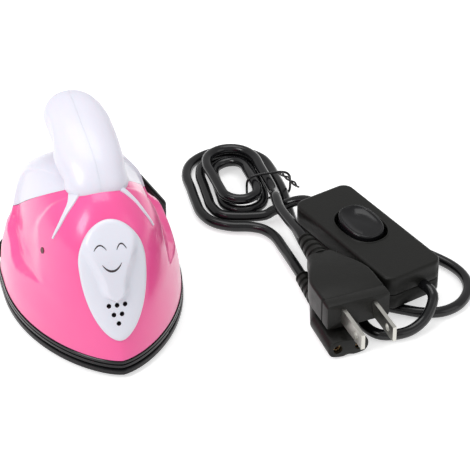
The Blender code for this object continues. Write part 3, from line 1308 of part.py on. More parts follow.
def make_connector(parent):
    """The connector for the base's inlet: a rounded block with two holes, contact tubes and strain relief."""
    out = Vector((math.sin(CONNECTOR_TURN), -math.cos(CONNECTOR_TURN), 0))
    across = Vector((math.cos(CONNECTOR_TURN), math.sin(CONNECTOR_TURN), 0))
    up = Vector((0, 0, 1))
    face = at(*CONNECTOR_FACE, CONNECTOR_CENTRE_HEIGHT)
    steps = ROUND_END_STEPS
    rings = []
    stations = ((0.0, CONNECTOR_HALF_WIDTH, CONNECTOR_HALF_HEIGHT),
                (CONNECTOR_STRAIGHT_SHARE, CONNECTOR_HALF_WIDTH, CONNECTOR_HALF_HEIGHT),
                (1.0, CONNECTOR_NECK_HALF_WIDTH, CONNECTOR_NECK_HALF_HEIGHT))
    for share, half_width, half_height in reversed(stations):
        centre = face - out * CONNECTOR_LENGTH * share
        reach = max(half_width - half_height, 0.0)
        ring = []
        for side in (1, -1):
            for k in range(steps + 1):
                angle = -math.pi / 2 + math.pi * k / steps
                out_to = across * (reach + half_height * math.cos(angle)) + up * half_height * math.sin(angle)
                ring.append(centre + side * out_to)
        rings.append(ring)
    body = ring_loft("connector_body", rings, True, True)
    for side, name in ((-1, "left"), (1, "right")):
        mouth = face + across * side * CONNECTOR_HOLE_HALF_SPACING
        hole = rod("connector_hole", mouth - out * CONNECTOR_HOLE_DEPTH, mouth + out * OVERRUN,
                   CONNECTOR_HOLE_RADIUS + GAP, 16, collection=CUTTERS)
        cut(body, hole)
        inner = mouth - out * (CONNECTOR_HOLE_DEPTH - GAP)
        outer = inner + out * CONNECTOR_TUBE_LENGTH
        tube_item = rod("connector_contact_" + name, inner, outer, CONNECTOR_HOLE_RADIUS, 16)
        bore = rod("contact_bore", inner + out * OVERRUN / 2, outer + out * OVERRUN, CONNECTOR_TUBE_BORE, 16,
                   collection=CUTTERS)
        cut(tube_item, bore)
        finish(tube_item, BRASS_SATIN, parent)
    finish(body, BLACK_MATT, parent)
    neck = face - out * (CONNECTOR_LENGTH + GAP)
    relief = relief_tube("connector_relief", neck, -out, CONNECTOR_RELIEF_LENGTH,
                         CONNECTOR_RELIEF_ROOT_RADIUS, CONNECTOR_RELIEF_TIP_RADIUS)
    finish(relief, BLACK_MATT, parent)


def hank_place(turns):
    """A place on the hank after so many turns of half rounds and straights, drawn in and then out again."""
    if turns <= HANK_UPPER_TURNS:
        radius = HANK_INNER_RADIUS + HANK_PITCH * (HANK_UPPER_TURNS - turns)
        height = HANK_LOWER_HEIGHT + HANK_LAYER
    elif turns <= HANK_UPPER_TURNS + HANK_CLIMB_TURNS:
        radius = HANK_INNER_RADIUS
        share = (turns - HANK_UPPER_TURNS) / HANK_CLIMB_TURNS
        height = HANK_LOWER_HEIGHT + HANK_LAYER * (1 - share * share * (3 - 2 * share))
    else:
        radius = HANK_INNER_RADIUS + HANK_PITCH * (turns - HANK_UPPER_TURNS - HANK_CLIMB_TURNS)
        height = HANK_LOWER_HEIGHT
    straight = HANK_HALF_STRAIGHT
    round_length = math.pi * radius
    total = 4 * straight + 2 * round_length
    run = (turns % 1.0) * total
    if run < 2 * straight:
        x, y = radius, -straight + run
    elif run < 2 * straight + round_length:
        angle = (run - 2 * straight) / radius
        x, y = radius * math.cos(angle), straight + radius * math.sin(angle)
    elif run < 4 * straight + round_length:
        x, y = -radius, straight - (run - 2 * straight - round_length)
    else:
        angle = (run - 4 * straight - round_length) / radius
        x, y = -radius * math.cos(angle), -straight - radius * math.sin(angle)
    return HANK_CENTRE[0] + x, HANK_CENTRE[1] + y, height


def hank_route():
    turns = HANK_UPPER_TURNS + HANK_CLIMB_TURNS + HANK_LOWER_TURNS
    count = round(turns * HANK_POINTS_PER_TURN)
    return [hank_place(turns * k / count) for k in range(count + 1)]


def least_gap(route, diameter):
    """The least gap between stretches of a wound cord that aren't neighbours along it."""
    fine = [Vector(p) for p in route]
    far = HANK_POINTS_PER_TURN // 3
    least = min((a - b).length for i, a in enumerate(fine) for b in fine[i + far:])
    return least - diameter


def make_cord_set(parent):
    """The free stretches, the hank and its tie."""
    wound = hank_route()
    print("least gap of the hank to itself, mm:", round(least_gap(wound, CORD_DIAMETER) * 1000, 2))
    finish(tube("cord_hank", wound, CORD_DIAMETER, 1), BLACK_MATT, parent)
    for name, route in (("cord_plug_lead", PLUG_LEAD_ROUTE), ("cord_switch_lead", SWITCH_LEAD_ROUTE),
                        ("cord_connector_lead", CONNECTOR_LEAD_ROUTE)):
        places = even_route(route, CORD_STEP)
        length = sum((Vector(a) - Vector(b)).length for a, b in zip(places, places[1:]))
        print(name, "length, mm:", round(length * 1000), "points:", len(places))
        finish(tube(name, places, CORD_DIAMETER), BLACK_MATT, parent)
    middle = (TIE_LEFT + TIE_RIGHT) / 2
    half = (TIE_RIGHT - TIE_LEFT) / 2
    low = TIE_RADIUS
    centre_height = (TIE_TOP + low) / 2
    half_height = (TIE_TOP - low) / 2
    loop = []
    for k in range(TIE_POINTS):
        angle = 2 * math.pi * k / TIE_POINTS
        c, s = math.cos(angle), math.sin(angle)
        loop.append((middle + half * math.copysign(abs(c) ** TIE_POWER, c), TIE_BEHIND,
                     centre_height + half_height * math.copysign(abs(s) ** TIE_POWER, s)))
    finish(tube("cord_tie", loop, TIE_RADIUS * 2, 1, cyclic=True), BLACK_MATT, parent)


def build():
    base = empty("base_frame", at(0, 0, 0))
    iron = empty("iron_frame", at(0, 0, SOLE_BOTTOM))
    cord = empty("cord_frame", at(*HANK_CENTRE, 0))
    rocker = empty("rocker_frame", at(*SWITCH_CENTRE, SWITCH_TOP))
    bpy.context.view_layer.update()
    make_tray(base)
    make_back(base)
    make_inlet(base)
    make_sole(iron)
    make_skirt(iron)
    make_sole_screws(iron)
    make_body(iron)
    make_cap(iron)
    make_panel(iron)
    for side, name in ((-1, "left"), (1, "right")):
        make_handle(side, "handle_" + name, iron)
        make_strip(side, "side_strip_" + name, iron)
    make_heater(iron)
    make_pads(iron)
    make_indicator(iron)
    make_switch(cord, rocker)
    make_plug(cord)
    make_connector(cord)
    make_cord_set(cord)


build()
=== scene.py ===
"""Looks of the mini craft iron, its powered base and its cord set.

Metres, +Z up, nose along -Y. The tables are in millimetres, with distances behind the base tray's nose.
"""

import math

import bmesh
import bpy
import numpy as np
from mathutils import Matrix, Vector
from mathutils.bvhtree import BVHTree


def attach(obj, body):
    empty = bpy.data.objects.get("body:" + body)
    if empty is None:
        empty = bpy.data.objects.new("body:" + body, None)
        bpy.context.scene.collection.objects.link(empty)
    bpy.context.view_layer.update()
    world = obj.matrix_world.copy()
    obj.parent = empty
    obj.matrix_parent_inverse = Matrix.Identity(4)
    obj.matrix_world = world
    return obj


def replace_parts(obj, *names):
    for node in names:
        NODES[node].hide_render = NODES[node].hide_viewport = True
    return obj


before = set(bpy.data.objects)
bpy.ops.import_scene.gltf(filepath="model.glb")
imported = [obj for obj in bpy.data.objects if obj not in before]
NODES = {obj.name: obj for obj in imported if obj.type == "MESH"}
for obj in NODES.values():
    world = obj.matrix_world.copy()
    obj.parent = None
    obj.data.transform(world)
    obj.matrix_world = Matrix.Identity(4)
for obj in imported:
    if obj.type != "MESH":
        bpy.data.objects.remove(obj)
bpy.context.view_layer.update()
MM = 0.001
HALF_BASE = 47.5


def to_frame(spots):
    """Places (across, behind the nose, height) in millimetres as metres in the frame."""
    return (spots - np.array([0, HALF_BASE, 0])) * MM


def added(name, data):
    """A new object in the scene."""
    made = bpy.data.objects.new(name, data)
    bpy.context.scene.collection.objects.link(made)
    return made


# ---- camera

# the photograph's view: degrees left of the nose and up, metres away, its aim and its lens
VIEW_TURN, VIEW_RISE, VIEW_DISTANCE = 14.4, 35.5, 0.95
VIEW_TARGET = (0.0622, 0.0304, 0.0)
VIEW_LENS, VIEW_SENSOR = 182.1, 36.0


def set_camera():
    """The camera that was fitted to the photograph."""
    turn, rise = math.radians(VIEW_TURN), math.radians(VIEW_RISE)
    back = Vector((-math.sin(turn) * math.cos(rise), -math.cos(turn) * math.cos(rise), math.sin(rise)))
    data = bpy.data.cameras.new("photo_camera")
    data.sensor_width = VIEW_SENSOR
    data.lens = VIEW_LENS
    camera = added("photo_camera", data)
    camera.location = Vector(VIEW_TARGET) + back * VIEW_DISTANCE
    camera.rotation_euler = (-back).to_track_quat("-Z", "Y").to_euler()
    bpy.context.scene.camera = camera


set_camera()


# ---- materials

# scales of the tone's drift and of the gloss patches; the noise between which the tone drifts, and its most
DRIFT_SCALE, PATCH_SCALE = 45.0, 260.0
DRIFT_FROM, DRIFT_TO, DRIFT_MOST = 0.35, 0.75, 0.5
# roughness of the smoothest and roughest patches against the material's own, and of the clear coat
PATCH_SMOOTH, PATCH_ROUGH, COAT_ROUGH = 0.8, 1.25, 0.12
# metres that red, green and blue light go under a plastic's surface
LIGHT_DEPTHS = (0.004, 0.002, 0.002)


def node(tree, kind, values=(), **settings):
    """A new shader node with its settings and, as pairs, the values of its inputs."""
    made = tree.nodes.new(kind)
    for key, value in settings.items():
        setattr(made, key, value)
    for key, value in values:
        made.inputs[key].default_value = value
    return made


def moulded(name, colour, rough, grain=900.0, height=0.00002, tone=0.04, coat=0.0, second_tone=None,
            subsurface=0.0, streak=0.0, metallic=0.0, shine=0.5):
    """A material whose tone drifts and whose gloss is patchy, under a fine grain."""
    made = bpy.data.materials.new(name)
    made.use_nodes = True
    tree = made.node_tree
    link = tree.links.new
    shader = tree.nodes["Principled BSDF"]
    for key, value in (("Metallic", metallic), ("Specular IOR Level", shine), ("Coat Weight", coat),
                       ("Coat Roughness", COAT_ROUGH), ("Subsurface Weight", subsurface),
                       ("Subsurface Radius", LIGHT_DEPTHS), ("Subsurface Scale", 1.0)):
        shader.inputs[key].default_value = value
    where = node(tree, "ShaderNodeTexCoord").outputs["Object"]
    drift = node(tree, "ShaderNodeTexNoise", (("Scale", DRIFT_SCALE), ("Detail", 3.0)))
    link(where, drift.inputs["Vector"])
    other = second_tone or tuple(c * (1 - tone * 4) for c in colour)
    mix = node(tree, "ShaderNodeMix", data_type="RGBA")
    mix.inputs[6].default_value = (*colour, 1.0)
    mix.inputs[7].default_value = (*other, 1.0)
    amount = node(tree, "ShaderNodeMapRange",
                  (("From Min", DRIFT_FROM), ("From Max", DRIFT_TO), ("To Max", DRIFT_MOST)))
    link(drift.outputs["Fac"], amount.inputs["Value"])
    link(amount.outputs["Result"], mix.inputs[0])
    link(mix.outputs[2], shader.inputs["Base Color"])
    patches = node(tree, "ShaderNodeTexNoise", (("Scale", PATCH_SCALE), ("Detail", 6.0)))
    link(where, patches.inputs["Vector"])
    gloss = node(tree, "ShaderNodeMapRange",
                 (("To Min", rough * PATCH_SMOOTH), ("To Max", min(rough * PATCH_ROUGH, 1.0))))
    link(patches.outputs["Fac"], gloss.inputs["Value"])
    link(gloss.outputs["Result"], shader.inputs["Roughness"])
    grained = node(tree, "ShaderNodeTexNoise", (("Scale", grain), ("Detail", 4.0)))
    if streak:
        squeeze = node(tree, "ShaderNodeMapping", (("Scale", (1.0, 1.0 / streak, 1.0)),))
        link(where, squeeze.inputs["Vector"])
        link(squeeze.outputs["Vector"], grained.inputs["Vector"])
    else:
        link(where, grained.inputs["Vector"])
    bump = node(tree, "ShaderNodeBump", (("Strength", 1.0), ("Distance", height)))
    link(grained.outputs["Fac"], bump.inputs["Height"])
    link(bump.outputs["Normal"], shader.inputs["Normal"])
    return made


PINK = moulded("glossy_pink_plastic", (0.98, 0.105, 0.36), 0.30, tone=0.02, coat=0.45, subsurface=0.12,
               second_tone=(0.97, 0.085, 0.33))
WHITE = moulded("white_plastic", (0.80, 0.785, 0.885), 0.34, tone=0.01, coat=0.2, subsurface=0.15)
PANEL_WHITE = moulded("panel_white_plastic", (0.79, 0.79, 0.88), 0.30, tone=0.01, coat=0.25, subsurface=0.12)
BLACK_GLOSS = moulded("glossy_black_plastic", (0.007, 0.007, 0.008), 0.20, grain=700.0, coat=0.05, shine=0.30)
BLACK_SATIN = moulded("satin_black_plastic", (0.009, 0.009, 0.008), 0.40, grain=1500.0, height=0.00005,
                      shine=0.22)
BLACK_CORD = moulded("black_cord_jacket", (0.006, 0.006, 0.007), 0.17, grain=600.0, height=0.00001, shine=0.45)
RUBBER = moulded("foot_rubber", (0.02, 0.02, 0.02), 0.75, grain=1800.0, height=0.00006)
NICKEL = moulded("nickel_plate", (0.58, 0.57, 0.53), 0.30, grain=2600.0, height=0.00001, streak=8.0, metallic=1.0)
BRASS = moulded("brass", (0.78, 0.52, 0.24), 0.28, grain=2400.0, height=0.00001, streak=8.0, metallic=1.0)
ALUMINIUM = moulded("ground_aluminium", (0.74, 0.74, 0.76), 0.32, grain=2200.0, height=0.00002, streak=30.0,
                    metallic=1.0)
STEEL = moulded("zinc_steel", (0.62, 0.62, 0.64), 0.34, grain=2400.0, height=0.00001, metallic=1.0)
CERAMIC = moulded("heater_ceramic", (0.80, 0.76, 0.66), 0.65, grain=1800.0, height=0.00005)
HEAT_MAT = moulded("heat_mat", (0.70, 0.66, 0.58), 0.85, grain=2400.0, height=0.0001, tone=0.06)
LENS = moulded("red_lens", (0.10, 0.006, 0.012), 0.2, coat=0.1, shine=0.3)
RED_WIRE = moulded("red_wire_sleeve", (0.55, 0.03, 0.03), 0.4)
# near-black painted shade: on the walls of the panel's holes and along the moulded eye and mouth lines
PAINTED_SHADE = moulded("painted_line_and_hole_shade", (0.035, 0.022, 0.028), 0.6)


def dress(material, *starts):
    """Gives the carried-over CAD nodes whose names start so a better material."""
    for name, item in NODES.items():
        if name.startswith(starts):
            for slot in item.material_slots:
                slot.material = material


dress(RUBBER, "base_foot")
dress(BLACK_GLOSS, "back_plate")
dress(BLACK_SATIN, "inlet_housing", "inlet_socket")
dress(BRASS, "inlet_pin", "contact_blade", "contact_pad", "switch_terminal", "connector_contact")
dress(NICKEL, "plug_blade")
dress(ALUMINIUM, "soleplate")
dress(STEEL, "sole_screw", "housing_screw", "heater_clamp", "thermostat", "rocker_pin")
dress(CERAMIC, "heater_block", "thermal_fuse")
dress(HEAT_MAT, "heat_sheet")
dress(LENS, "indicator_lens", "indicator_lamp")
dress(RED_WIRE, "lead_wire_left")
dress(BLACK_CORD, "lead_wire_right")


# ---- mesh helpers

WELD_DISTANCE = 0.000004


def grid_faces(rows, columns, wrap):
    """Four corners a face over a grid of rows by columns, joined round the columns if wrap is true."""
    r = np.arange(rows - 1)[:, None]
    c = np.arange(columns if wrap else columns - 1)[None, :]
    after = (c + 1) % columns
    corners = (r * columns + c, r * columns + after, (r + 1) * columns + after, (r + 1) * columns + c)
    return np.stack(corners, -1).reshape(-1, 4)


def piece(name, verts, faces, material, body, slot, smooth=40):
    """A mesh object, welded, turned outwards and put on its body. Edges over the smooth angle stay sharp."""
    mesh = bpy.data.meshes.new(name)
    mesh.from_pydata(np.asarray(verts).tolist(), [], [tuple(f) for f in faces])
    work = bmesh.new()
    work.from_mesh(mesh)
    bmesh.ops.remove_doubles(work, verts=work.verts, dist=WELD_DISTANCE)
    bmesh.ops.recalc_face_normals(work, faces=work.faces)
    middle = sum((v.co for v in work.verts), Vector()) / len(work.verts)
    facing = sum((f.calc_center_median() - middle).dot(f.normal) * f.calc_area() for f in work.faces)
    if facing < 0:
        bmesh.ops.reverse_faces(work, faces=work.faces)
    work.to_mesh(mesh)
    work.free()
    mesh.materials.append(material)
    mesh.shade_smooth()
    mesh.set_sharp_from_angle(angle=math.radians(smooth))
    item = added(name, mesh)
    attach(item, body)
    return item


def lofted(name, rings, node_name, material, body, slot, smooth):
    """A closed skin over a stack of rings, each end closed to its middle, in place of a CAD node."""
    rings = np.asarray(rings)
    first = np.repeat(rings[:1].mean(1, keepdims=True), rings.shape[1], 1)
    last = np.repeat(rings[-1:].mean(1, keepdims=True), rings.shape[1], 1)
    rings = np.concatenate([first, rings, last])
    faces = grid_faces(rings.shape[0], rings.shape[1], True)
    item = piece(name, rings.reshape(-1, 3), faces, material, body, slot, smooth)
    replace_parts(item, node_name)
    return item


def cut_out(item, shape, name):
    """Cuts a bmesh shape out of a piece and gives back the piece's new mesh."""
    mesh = bpy.data.meshes.new(name)
    shape.to_mesh(mesh)
    shape.free()
    cutter = added(name, mesh)
    step = item.modifiers.new(name, "BOOLEAN")
    step.object = cutter
    step.solver = "EXACT"
    bpy.context.view_layer.update()
    made = bpy.data.meshes.new_from_object(item.evaluated_get(bpy.context.evaluated_depsgraph_get()))
    item.modifiers.clear()
    item.data = made
    bpy.data.objects.remove(cutter, do_unlink=True)
    return made


def catmull(table, at):
    """Catmull-Rom values of a table of rows at row positions given as decimals."""
    table = np.asarray(table, float)
    last = len(table) - 1
    at = np.clip(np.asarray(at, float), 0, last)
    i = np.minimum(at.astype(int), last - 1)
    t = (at - i)[..., None]
    p0, p1 = table[np.maximum(i - 1, 0)], table[i]
    p2, p3 = table[i + 1], table[np.minimum(i + 2, last)]
    bend, twist = 2 * p0 - 5 * p1 + 4 * p2 - p3, 3 * p1 - p0 - 3 * p2 + p3
    return 0.5 * (2 * p1 + (p2 - p0) * t + bend * t**2 + twist * t**3)


def ease(x):
    """0 below 0, 1 above 1, and a smooth step between."""
    x = np.clip(x, 0, 1)
    return x * x * (3 - 2 * x)


def all_round(count):
    """Angles that go once round in equal steps."""
    return np.linspace(0, 2 * math.pi, count + 1)[:-1]


# ---- cords

# the cord's diameter, and its routes: from the plug and from the switch box to the hank, then box to connector
CORD = 4.2
PLUG_LEAD = (
    (82.26, 48.3, 15.3), (81.6, 52.9, 15.3), (80.4, 63.0, 14.1), (79.6, 74.0, 12.7), (80.3, 83.0, 11.8),
    (81.6, 88.3, 9.4), (82.0, 92.6, 8.1), (82.0, 96.9, 8.1),
)
SWITCH_LEAD = (
    (70.1, 83.55, 3.4), (74.5, 83.55, 3.4), (79.5, 83.4, 5.2), (84.5, 83.1, 7.5), (88.5, 81.9, 9.3),
    (91.7, 79.6, 10.7), (93.9, 76.3, 11.2), (95.6, 71.4, 11.2),
)
CONNECTOR_LEAD = (
    (119.3, 14.7, 11.2), (121.0, 9.8, 11.2), (121.2, 6.2, 10.1), (119.2, 3.2, 7.2), (115.5, 0.4, 4.2),
    (110.0, -1.8, 2.5), (104.0, -2.6, 2.3), (98.0, -1.0, 2.3), (94.5, 4.5, 2.3), (93.8, 11.0, 3.1),
    (93.5, 17.0, 5.5), (93.3, 22.5, 7.0), (93.1, 28.5, 5.0), (93.0, 34.0, 2.6), (94.0, 42.0, 2.3),
    (98.5, 52.0, 2.2), (106.0, 59.0, 2.2), (115.0, 59.0, 2.2), (124.0, 52.5, 2.2), (132.0, 43.0, 2.2),
    (138.2, 34.0, 2.2), (140.7, 25.5, 2.2), (139.2, 17.0, 2.2), (133.5, 9.8, 2.2), (126.0, 6.7, 2.2),
    (118.0, 7.9, 2.2), (112.0, 11.2, 2.2), (106.0, 15.0, 2.2), (100.0, 18.5, 2.2), (94.5, 22.0, 2.2),
    (90.5, 28.0, 2.2), (88.5, 36.0, 2.2), (87.4, 46.0, 2.2), (86.7, 56.0, 2.2), (86.3, 68.0, 2.2),
    (86.2, 80.0, 2.2), (86.9, 90.0, 3.0), (87.4, 100.0, 3.7), (87.4, 109.0, 3.1), (87.4, 117.2, 2.4),
    (85.8, 125.2, 2.2), (80.6, 131.3, 2.2), (74.5, 134.2, 2.2), (68.0, 134.7, 2.2), (61.0, 132.4, 2.2),
    (55.3, 127.4, 2.2), (52.4, 120.0, 2.2), (52.1, 111.0, 2.2), (51.8, 102.0, 2.2), (52.1, 93.0, 2.2),
    (55.2, 85.8, 2.2), (61.4, 81.2, 2.2), (68.5, 79.0, 2.2), (73.5, 75.7, 2.2), (76.5, 69.5, 2.3),
    (77.4, 61.0, 2.8), (77.8, 53.0, 3.8), (78.1, 48.0, 4.3), (78.52, 43.7, 4.3), (78.99, 39.16, 4.3),
)
# the hank: half a straight, inner radius, pitch, lower layer's height, the upper one's above it; then the turns at
# which the upper layer, the way down and the whole end, and the steps of the whole
HANK_CENTRE = (69.8, 107.2)
HANK_STRAIGHT, HANK_INNER, HANK_PITCH, HANK_LOW, HANK_LAYER = 10.0, 6.4, 5.8, 3.4, 4.7
HANK_UPPER, HANK_CLIMBED, HANK_TURNS, HANK_STEPS = 1.0, 1.5, 2.75, 132


def hank_place(turns):
    """Half rounds joined by straights: one turn in on the upper layer, half a turn down, then out on the lower."""
    if turns <= HANK_UPPER:
        radius, height = HANK_INNER + HANK_PITCH * (HANK_UPPER - turns), HANK_LOW + HANK_LAYER
    elif turns <= HANK_CLIMBED:
        down = float(ease((turns - HANK_UPPER) / (HANK_CLIMBED - HANK_UPPER)))
        radius, height = HANK_INNER, HANK_LOW + HANK_LAYER * (1 - down)
    else:
        radius, height = HANK_INNER + HANK_PITCH * (turns - HANK_CLIMBED), HANK_LOW
    halves, share = divmod(2 * (turns % 1.0), 1)
    run = share * (2 * HANK_STRAIGHT + math.pi * radius)
    if run < 2 * HANK_STRAIGHT:
        x, y = radius, run - HANK_STRAIGHT
    else:
        angle = (run - 2 * HANK_STRAIGHT) / radius
        x, y = radius * math.cos(angle), HANK_STRAIGHT + radius * math.sin(angle)
    side = -1 if halves else 1
    return HANK_CENTRE[0] + side * x, HANK_CENTRE[1] + side * y, height


def smooth_route(points, step=1.6):
    """Places a step apart, in millimetres, along the smooth curve through the points."""
    fine = catmull(points, np.linspace(0, len(points) - 1, len(points) * 24))
    length = np.concatenate([[0], np.cumsum(np.linalg.norm(np.diff(fine, axis=0), axis=1))])
    wanted = np.linspace(0, length[-1], max(int(length[-1] / step), 8))
    return np.stack([np.interp(wanted, length, fine[:, k]) for k in range(3)], -1)


def cord(name, route, diameter, resolution):
    """A round cord as one open spline along places in millimetres, with its length and its places in metres."""
    data = bpy.data.curves.new(name, "CURVE")
    data.dimensions = "3D"
    data.bevel_depth = diameter * MM / 2
    data.bevel_resolution = resolution
    data.use_fill_caps = True
    spline = data.splines.new("POLY")
    spline.points.add(len(route) - 1)
    world = to_frame(route)
    spline.points.foreach_set("co", np.concatenate([world, np.ones((len(world), 1))], 1).ravel())
    spline.use_smooth = True
    data.materials.append(BLACK_CORD)
    item = added(name, data)
    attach(item, "base")
    return item, float(np.linalg.norm(np.diff(world, axis=0), axis=1).sum()), world


hank = np.array([hank_place(HANK_TURNS * k / HANK_STEPS) for k in range(HANK_STEPS + 1)])
supply_points = np.concatenate([np.array(SWITCH_LEAD)[:0:-1], hank[::-3], np.array(PLUG_LEAD)[-2::-1]])
supply, supply_length, supply_world = cord("supply_cord", smooth_route(supply_points), CORD, 6)
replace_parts(supply, "cord_plug_lead", "cord_hank", "cord_switch_lead")
iron_cord, iron_length, iron_world = cord("iron_cord", smooth_route(CONNECTOR_LEAD), CORD, 6)
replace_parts(iron_cord, "cord_connector_lead")


def signed_power(values, power):
    """A power of the values' size that keeps their sign: under 1 it squares a round's corners."""
    return np.sign(values) * np.abs(values) ** power


# the wire tie: its loop's centre, half sizes and wire; its tail's start, reach, wire, twist in radians and spread
TIE_CENTRE, TIE_HALF, TIE_WIRE = (81.95, 100.0, 5.95), (9.15, 0.9, 5.45), 1.0
TAIL_START, TAIL_REACH = (86.5, 99.4, 11.9), (5.0, -9.5, -1.5)
TAIL_WIRE, TAIL_TWIST, TAIL_SPREAD = 0.8, 9, 0.5


def make_tie():
    """The wire tie: an oval loop round the hank's right-hand strands and a twisted tail that stands off it."""
    k = np.linspace(0, 2 * math.pi, 72)
    c, s = np.cos(k), np.sin(k)
    loop = TIE_CENTRE + TIE_HALF * np.stack([signed_power(c, 0.5), s, signed_power(s, 0.5)], -1)
    item, _, _ = cord("wire_tie", loop, TIE_WIRE, 3)
    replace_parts(item, "cord_tie")
    t = np.linspace(0, 1, 60)
    for number, phase in ((1, 0.0), (2, math.pi)):
        turn = phase + t * TAIL_TWIST
        tail = np.stack([TAIL_START[0] + TAIL_REACH[0] * t + TAIL_SPREAD * np.cos(turn),
                         TAIL_START[1] + TAIL_REACH[1] * t,
                         TAIL_START[2] + TAIL_REACH[2] * t * t + TAIL_SPREAD * np.sin(turn)], -1)
        cord(f"wire_tie_tail_{number}", tail, TAIL_WIRE, 3)


make_tie()


# ---- body of the iron

# the shell's foot, height, nose, length and half width; the rings' rows are shares of these
BODY_LOW, BODY_TALL, BODY_NOSE, BODY_LONG, BODY_HALF = 7.3, 56.0, 1.2, 80.5, 33.8
# front, half width, widest, rear, heights at nose, side and tail, powers at nose and tail, right rear drawn in
RINGS = (
    (0.000, 1.000, 0.72, 1.000, 0.000, 0.000, 0.000, 1.36, 0.42, 0.00),
    (0.016, 0.970, 0.72, 1.000, 0.080, 0.160, 0.115, 1.25, 0.42, 0.00),
    (0.045, 0.900, 0.72, 1.000, 0.215, 0.340, 0.215, 1.05, 0.42, 0.00),
    (0.077, 0.865, 0.72, 1.000, 0.350, 0.388, 0.330, 0.90, 0.45, 0.04),
    (0.114, 0.825, 0.75, 1.000, 0.482, 0.438, 0.438, 0.75, 0.50, 0.08),
    (0.153, 0.760, 0.78, 1.018, 0.620, 0.607, 0.554, 0.65, 0.60, 0.10),
    (0.191, 0.666, 0.78, 1.024, 0.757, 0.757, 0.680, 0.60, 0.70, 0.22),
    (0.246, 0.527, 0.70, 0.942, 0.875, 0.866, 0.820, 0.65, 0.80, 0.25),
    (0.308, 0.367, 0.58, 0.792, 0.960, 0.937, 0.930, 0.80, 0.90, 0.10),
    (0.370, 0.250, 0.50, 0.631, 1.000, 0.982, 0.975, 1.00, 1.00, 0.00),
)
# each flank's scoop: its lower ridge (degrees from the nose, levels); its rear edge, its front crease and that
# crease's width (levels, degrees); its depth (levels above the ridge, millimetres)
RIDGE = ((46, 58, 66, 72, 78, 84, 90, 110), (3.2, 2.3, 1.9, 1.65, 1.5, 1.55, 1.9, 2.2))
REAR_EDGE = ((1.5, 2.2, 3.0, 3.8, 4.6, 5.5, 9.0), (90, 91, 94, 97, 99, 97, 90))
CREASE = ((1.5, 3.0, 4.4, 5.4, 6.7, 7.9, 9.0), (52, 50, 53, 60, 57, 52, 50))
CREASE_WIDTH = ((1.5, 3.0, 4.4, 5.4, 6.0, 9.0), (26, 26, 22, 9, 5, 5))
SCOOP_DEPTH = ((0.0, 0.5, 1.8, 3.3, 4.8, 6.2), (2.6, 2.6, 2.1, 1.5, 0.9, 0.0))
# the degrees over which its rear edge falls off, and the levels over which its ridge steps in
REAR_EDGE_WIDTH, RIDGE_STEP = 6, 0.35
# the degrees from the nose at which the right rear starts to be drawn in, and the span of that
DRAW_START, DRAW_WIDTH = 50, 40
# the plane that parts cap and shell: a height, the place behind the nose that has it, and its fall
PARTING_HEIGHT, PARTING_BEHIND, PARTING_FALL = 57.4, 42.7, 0.8126
# the top ring's level, the highest at which the cap still starts, and half the seam between them, in levels
TOP_LEVEL, CAP_LEVEL, HALF_SEAM = 9.0, 8.7, 0.012
# columns and rows of the two skins, rows of the cap's lid, and how far behind the nose the lid's middle lies
SHELL_COLUMNS, CAP_COLUMNS, SKIN_ROWS, LID_ROWS, LID_MIDDLE = 360, 260, 110, 8, 41.5
# how deep the rows of a lip that turns inwards lie, at a skin's first row and at its last
FIRST_LIP, LAST_LIP = (0.04, 0.20, 1.6), (0.12, 0.4, 1.6)
# the shell's opening behind the panel's holes: half width, middle height, half height and reach behind the nose
WINDOW_HALF, WINDOW_MIDDLE, WINDOW_TALL, WINDOW_REACH = 4.3, 25.8, 4.8, 30


def scoop(angle, level):
    """Depth in millimetres of the flank's scoop: a sharp step in above the ridge, then a slow rise back."""
    a = np.degrees(angle)
    above = level - np.interp(a, *RIDGE)
    front = ease((a - np.interp(level, *CREASE)) / np.interp(level, *CREASE_WIDTH))
    rear = 1 - ease((a - np.interp(level, *REAR_EDGE)) / REAR_EDGE_WIDTH)
    return np.interp(above, *SCOOP_DEPTH) * ease(above / RIDGE_STEP) * front * rear


def body_surface(turn, level):
    """The shell's outer face in millimetres. turn goes round from the nose, level goes up the rings of the table.

    x = half sin^p, p one power ahead of the widest place and one behind it, less the draw of the right rear and
    the flanks' scoops. The height eases from nose to side to tail.
    """
    turn, level = np.broadcast_arrays(turn, level)
    front, half, widest, rear, low, side, tail, nose_power, tail_power, draw = np.moveaxis(catmull(RINGS, level), -1, 0)
    angle = np.minimum(turn, 2 * math.pi - turn)
    s, c = np.abs(np.sin(angle)), np.cos(angle)
    ahead = c >= 0
    x = np.where(ahead, s**nose_power, s**tail_power) * half * BODY_HALF
    drawn = 1 - draw * ease((angle - math.radians(DRAW_START)) / math.radians(DRAW_WIDTH))
    x = x * np.where(turn <= math.pi, drawn, 1)
    x = x - scoop(angle, level)
    back = np.where(ahead, widest - (widest - front) * c, widest + (rear - widest) * np.abs(c) ** tail_power)
    blend = (1 - np.cos(2 * angle)) / 2
    far = np.where(ahead, low, tail)
    rise = far + (side - far) * blend
    return np.stack([np.where(turn <= math.pi, x, -x), BODY_NOSE + BODY_LONG * back, BODY_LOW + BODY_TALL * rise], -1)


def over_cap_plane(points):
    """How far places lie above the slanted plane that parts cap and shell."""
    return points[..., 2] - (PARTING_HEIGHT - PARTING_FALL * (points[..., 1] - PARTING_BEHIND))


def split_level(turn):
    """The level at which the parting plane crosses the shell, by halving, and the top one where it doesn't."""
    low, high = np.zeros_like(turn), np.full_like(turn, TOP_LEVEL)
    crossed = over_cap_plane(body_surface(turn, high)) > 0
    for _ in range(40):
        middle = (low + high) / 2
        above = over_cap_plane(body_surface(turn, middle)) > 0
        high = np.where(above, middle, high)
        low = np.where(above, low, middle)
    return np.where(crossed, high, TOP_LEVEL)


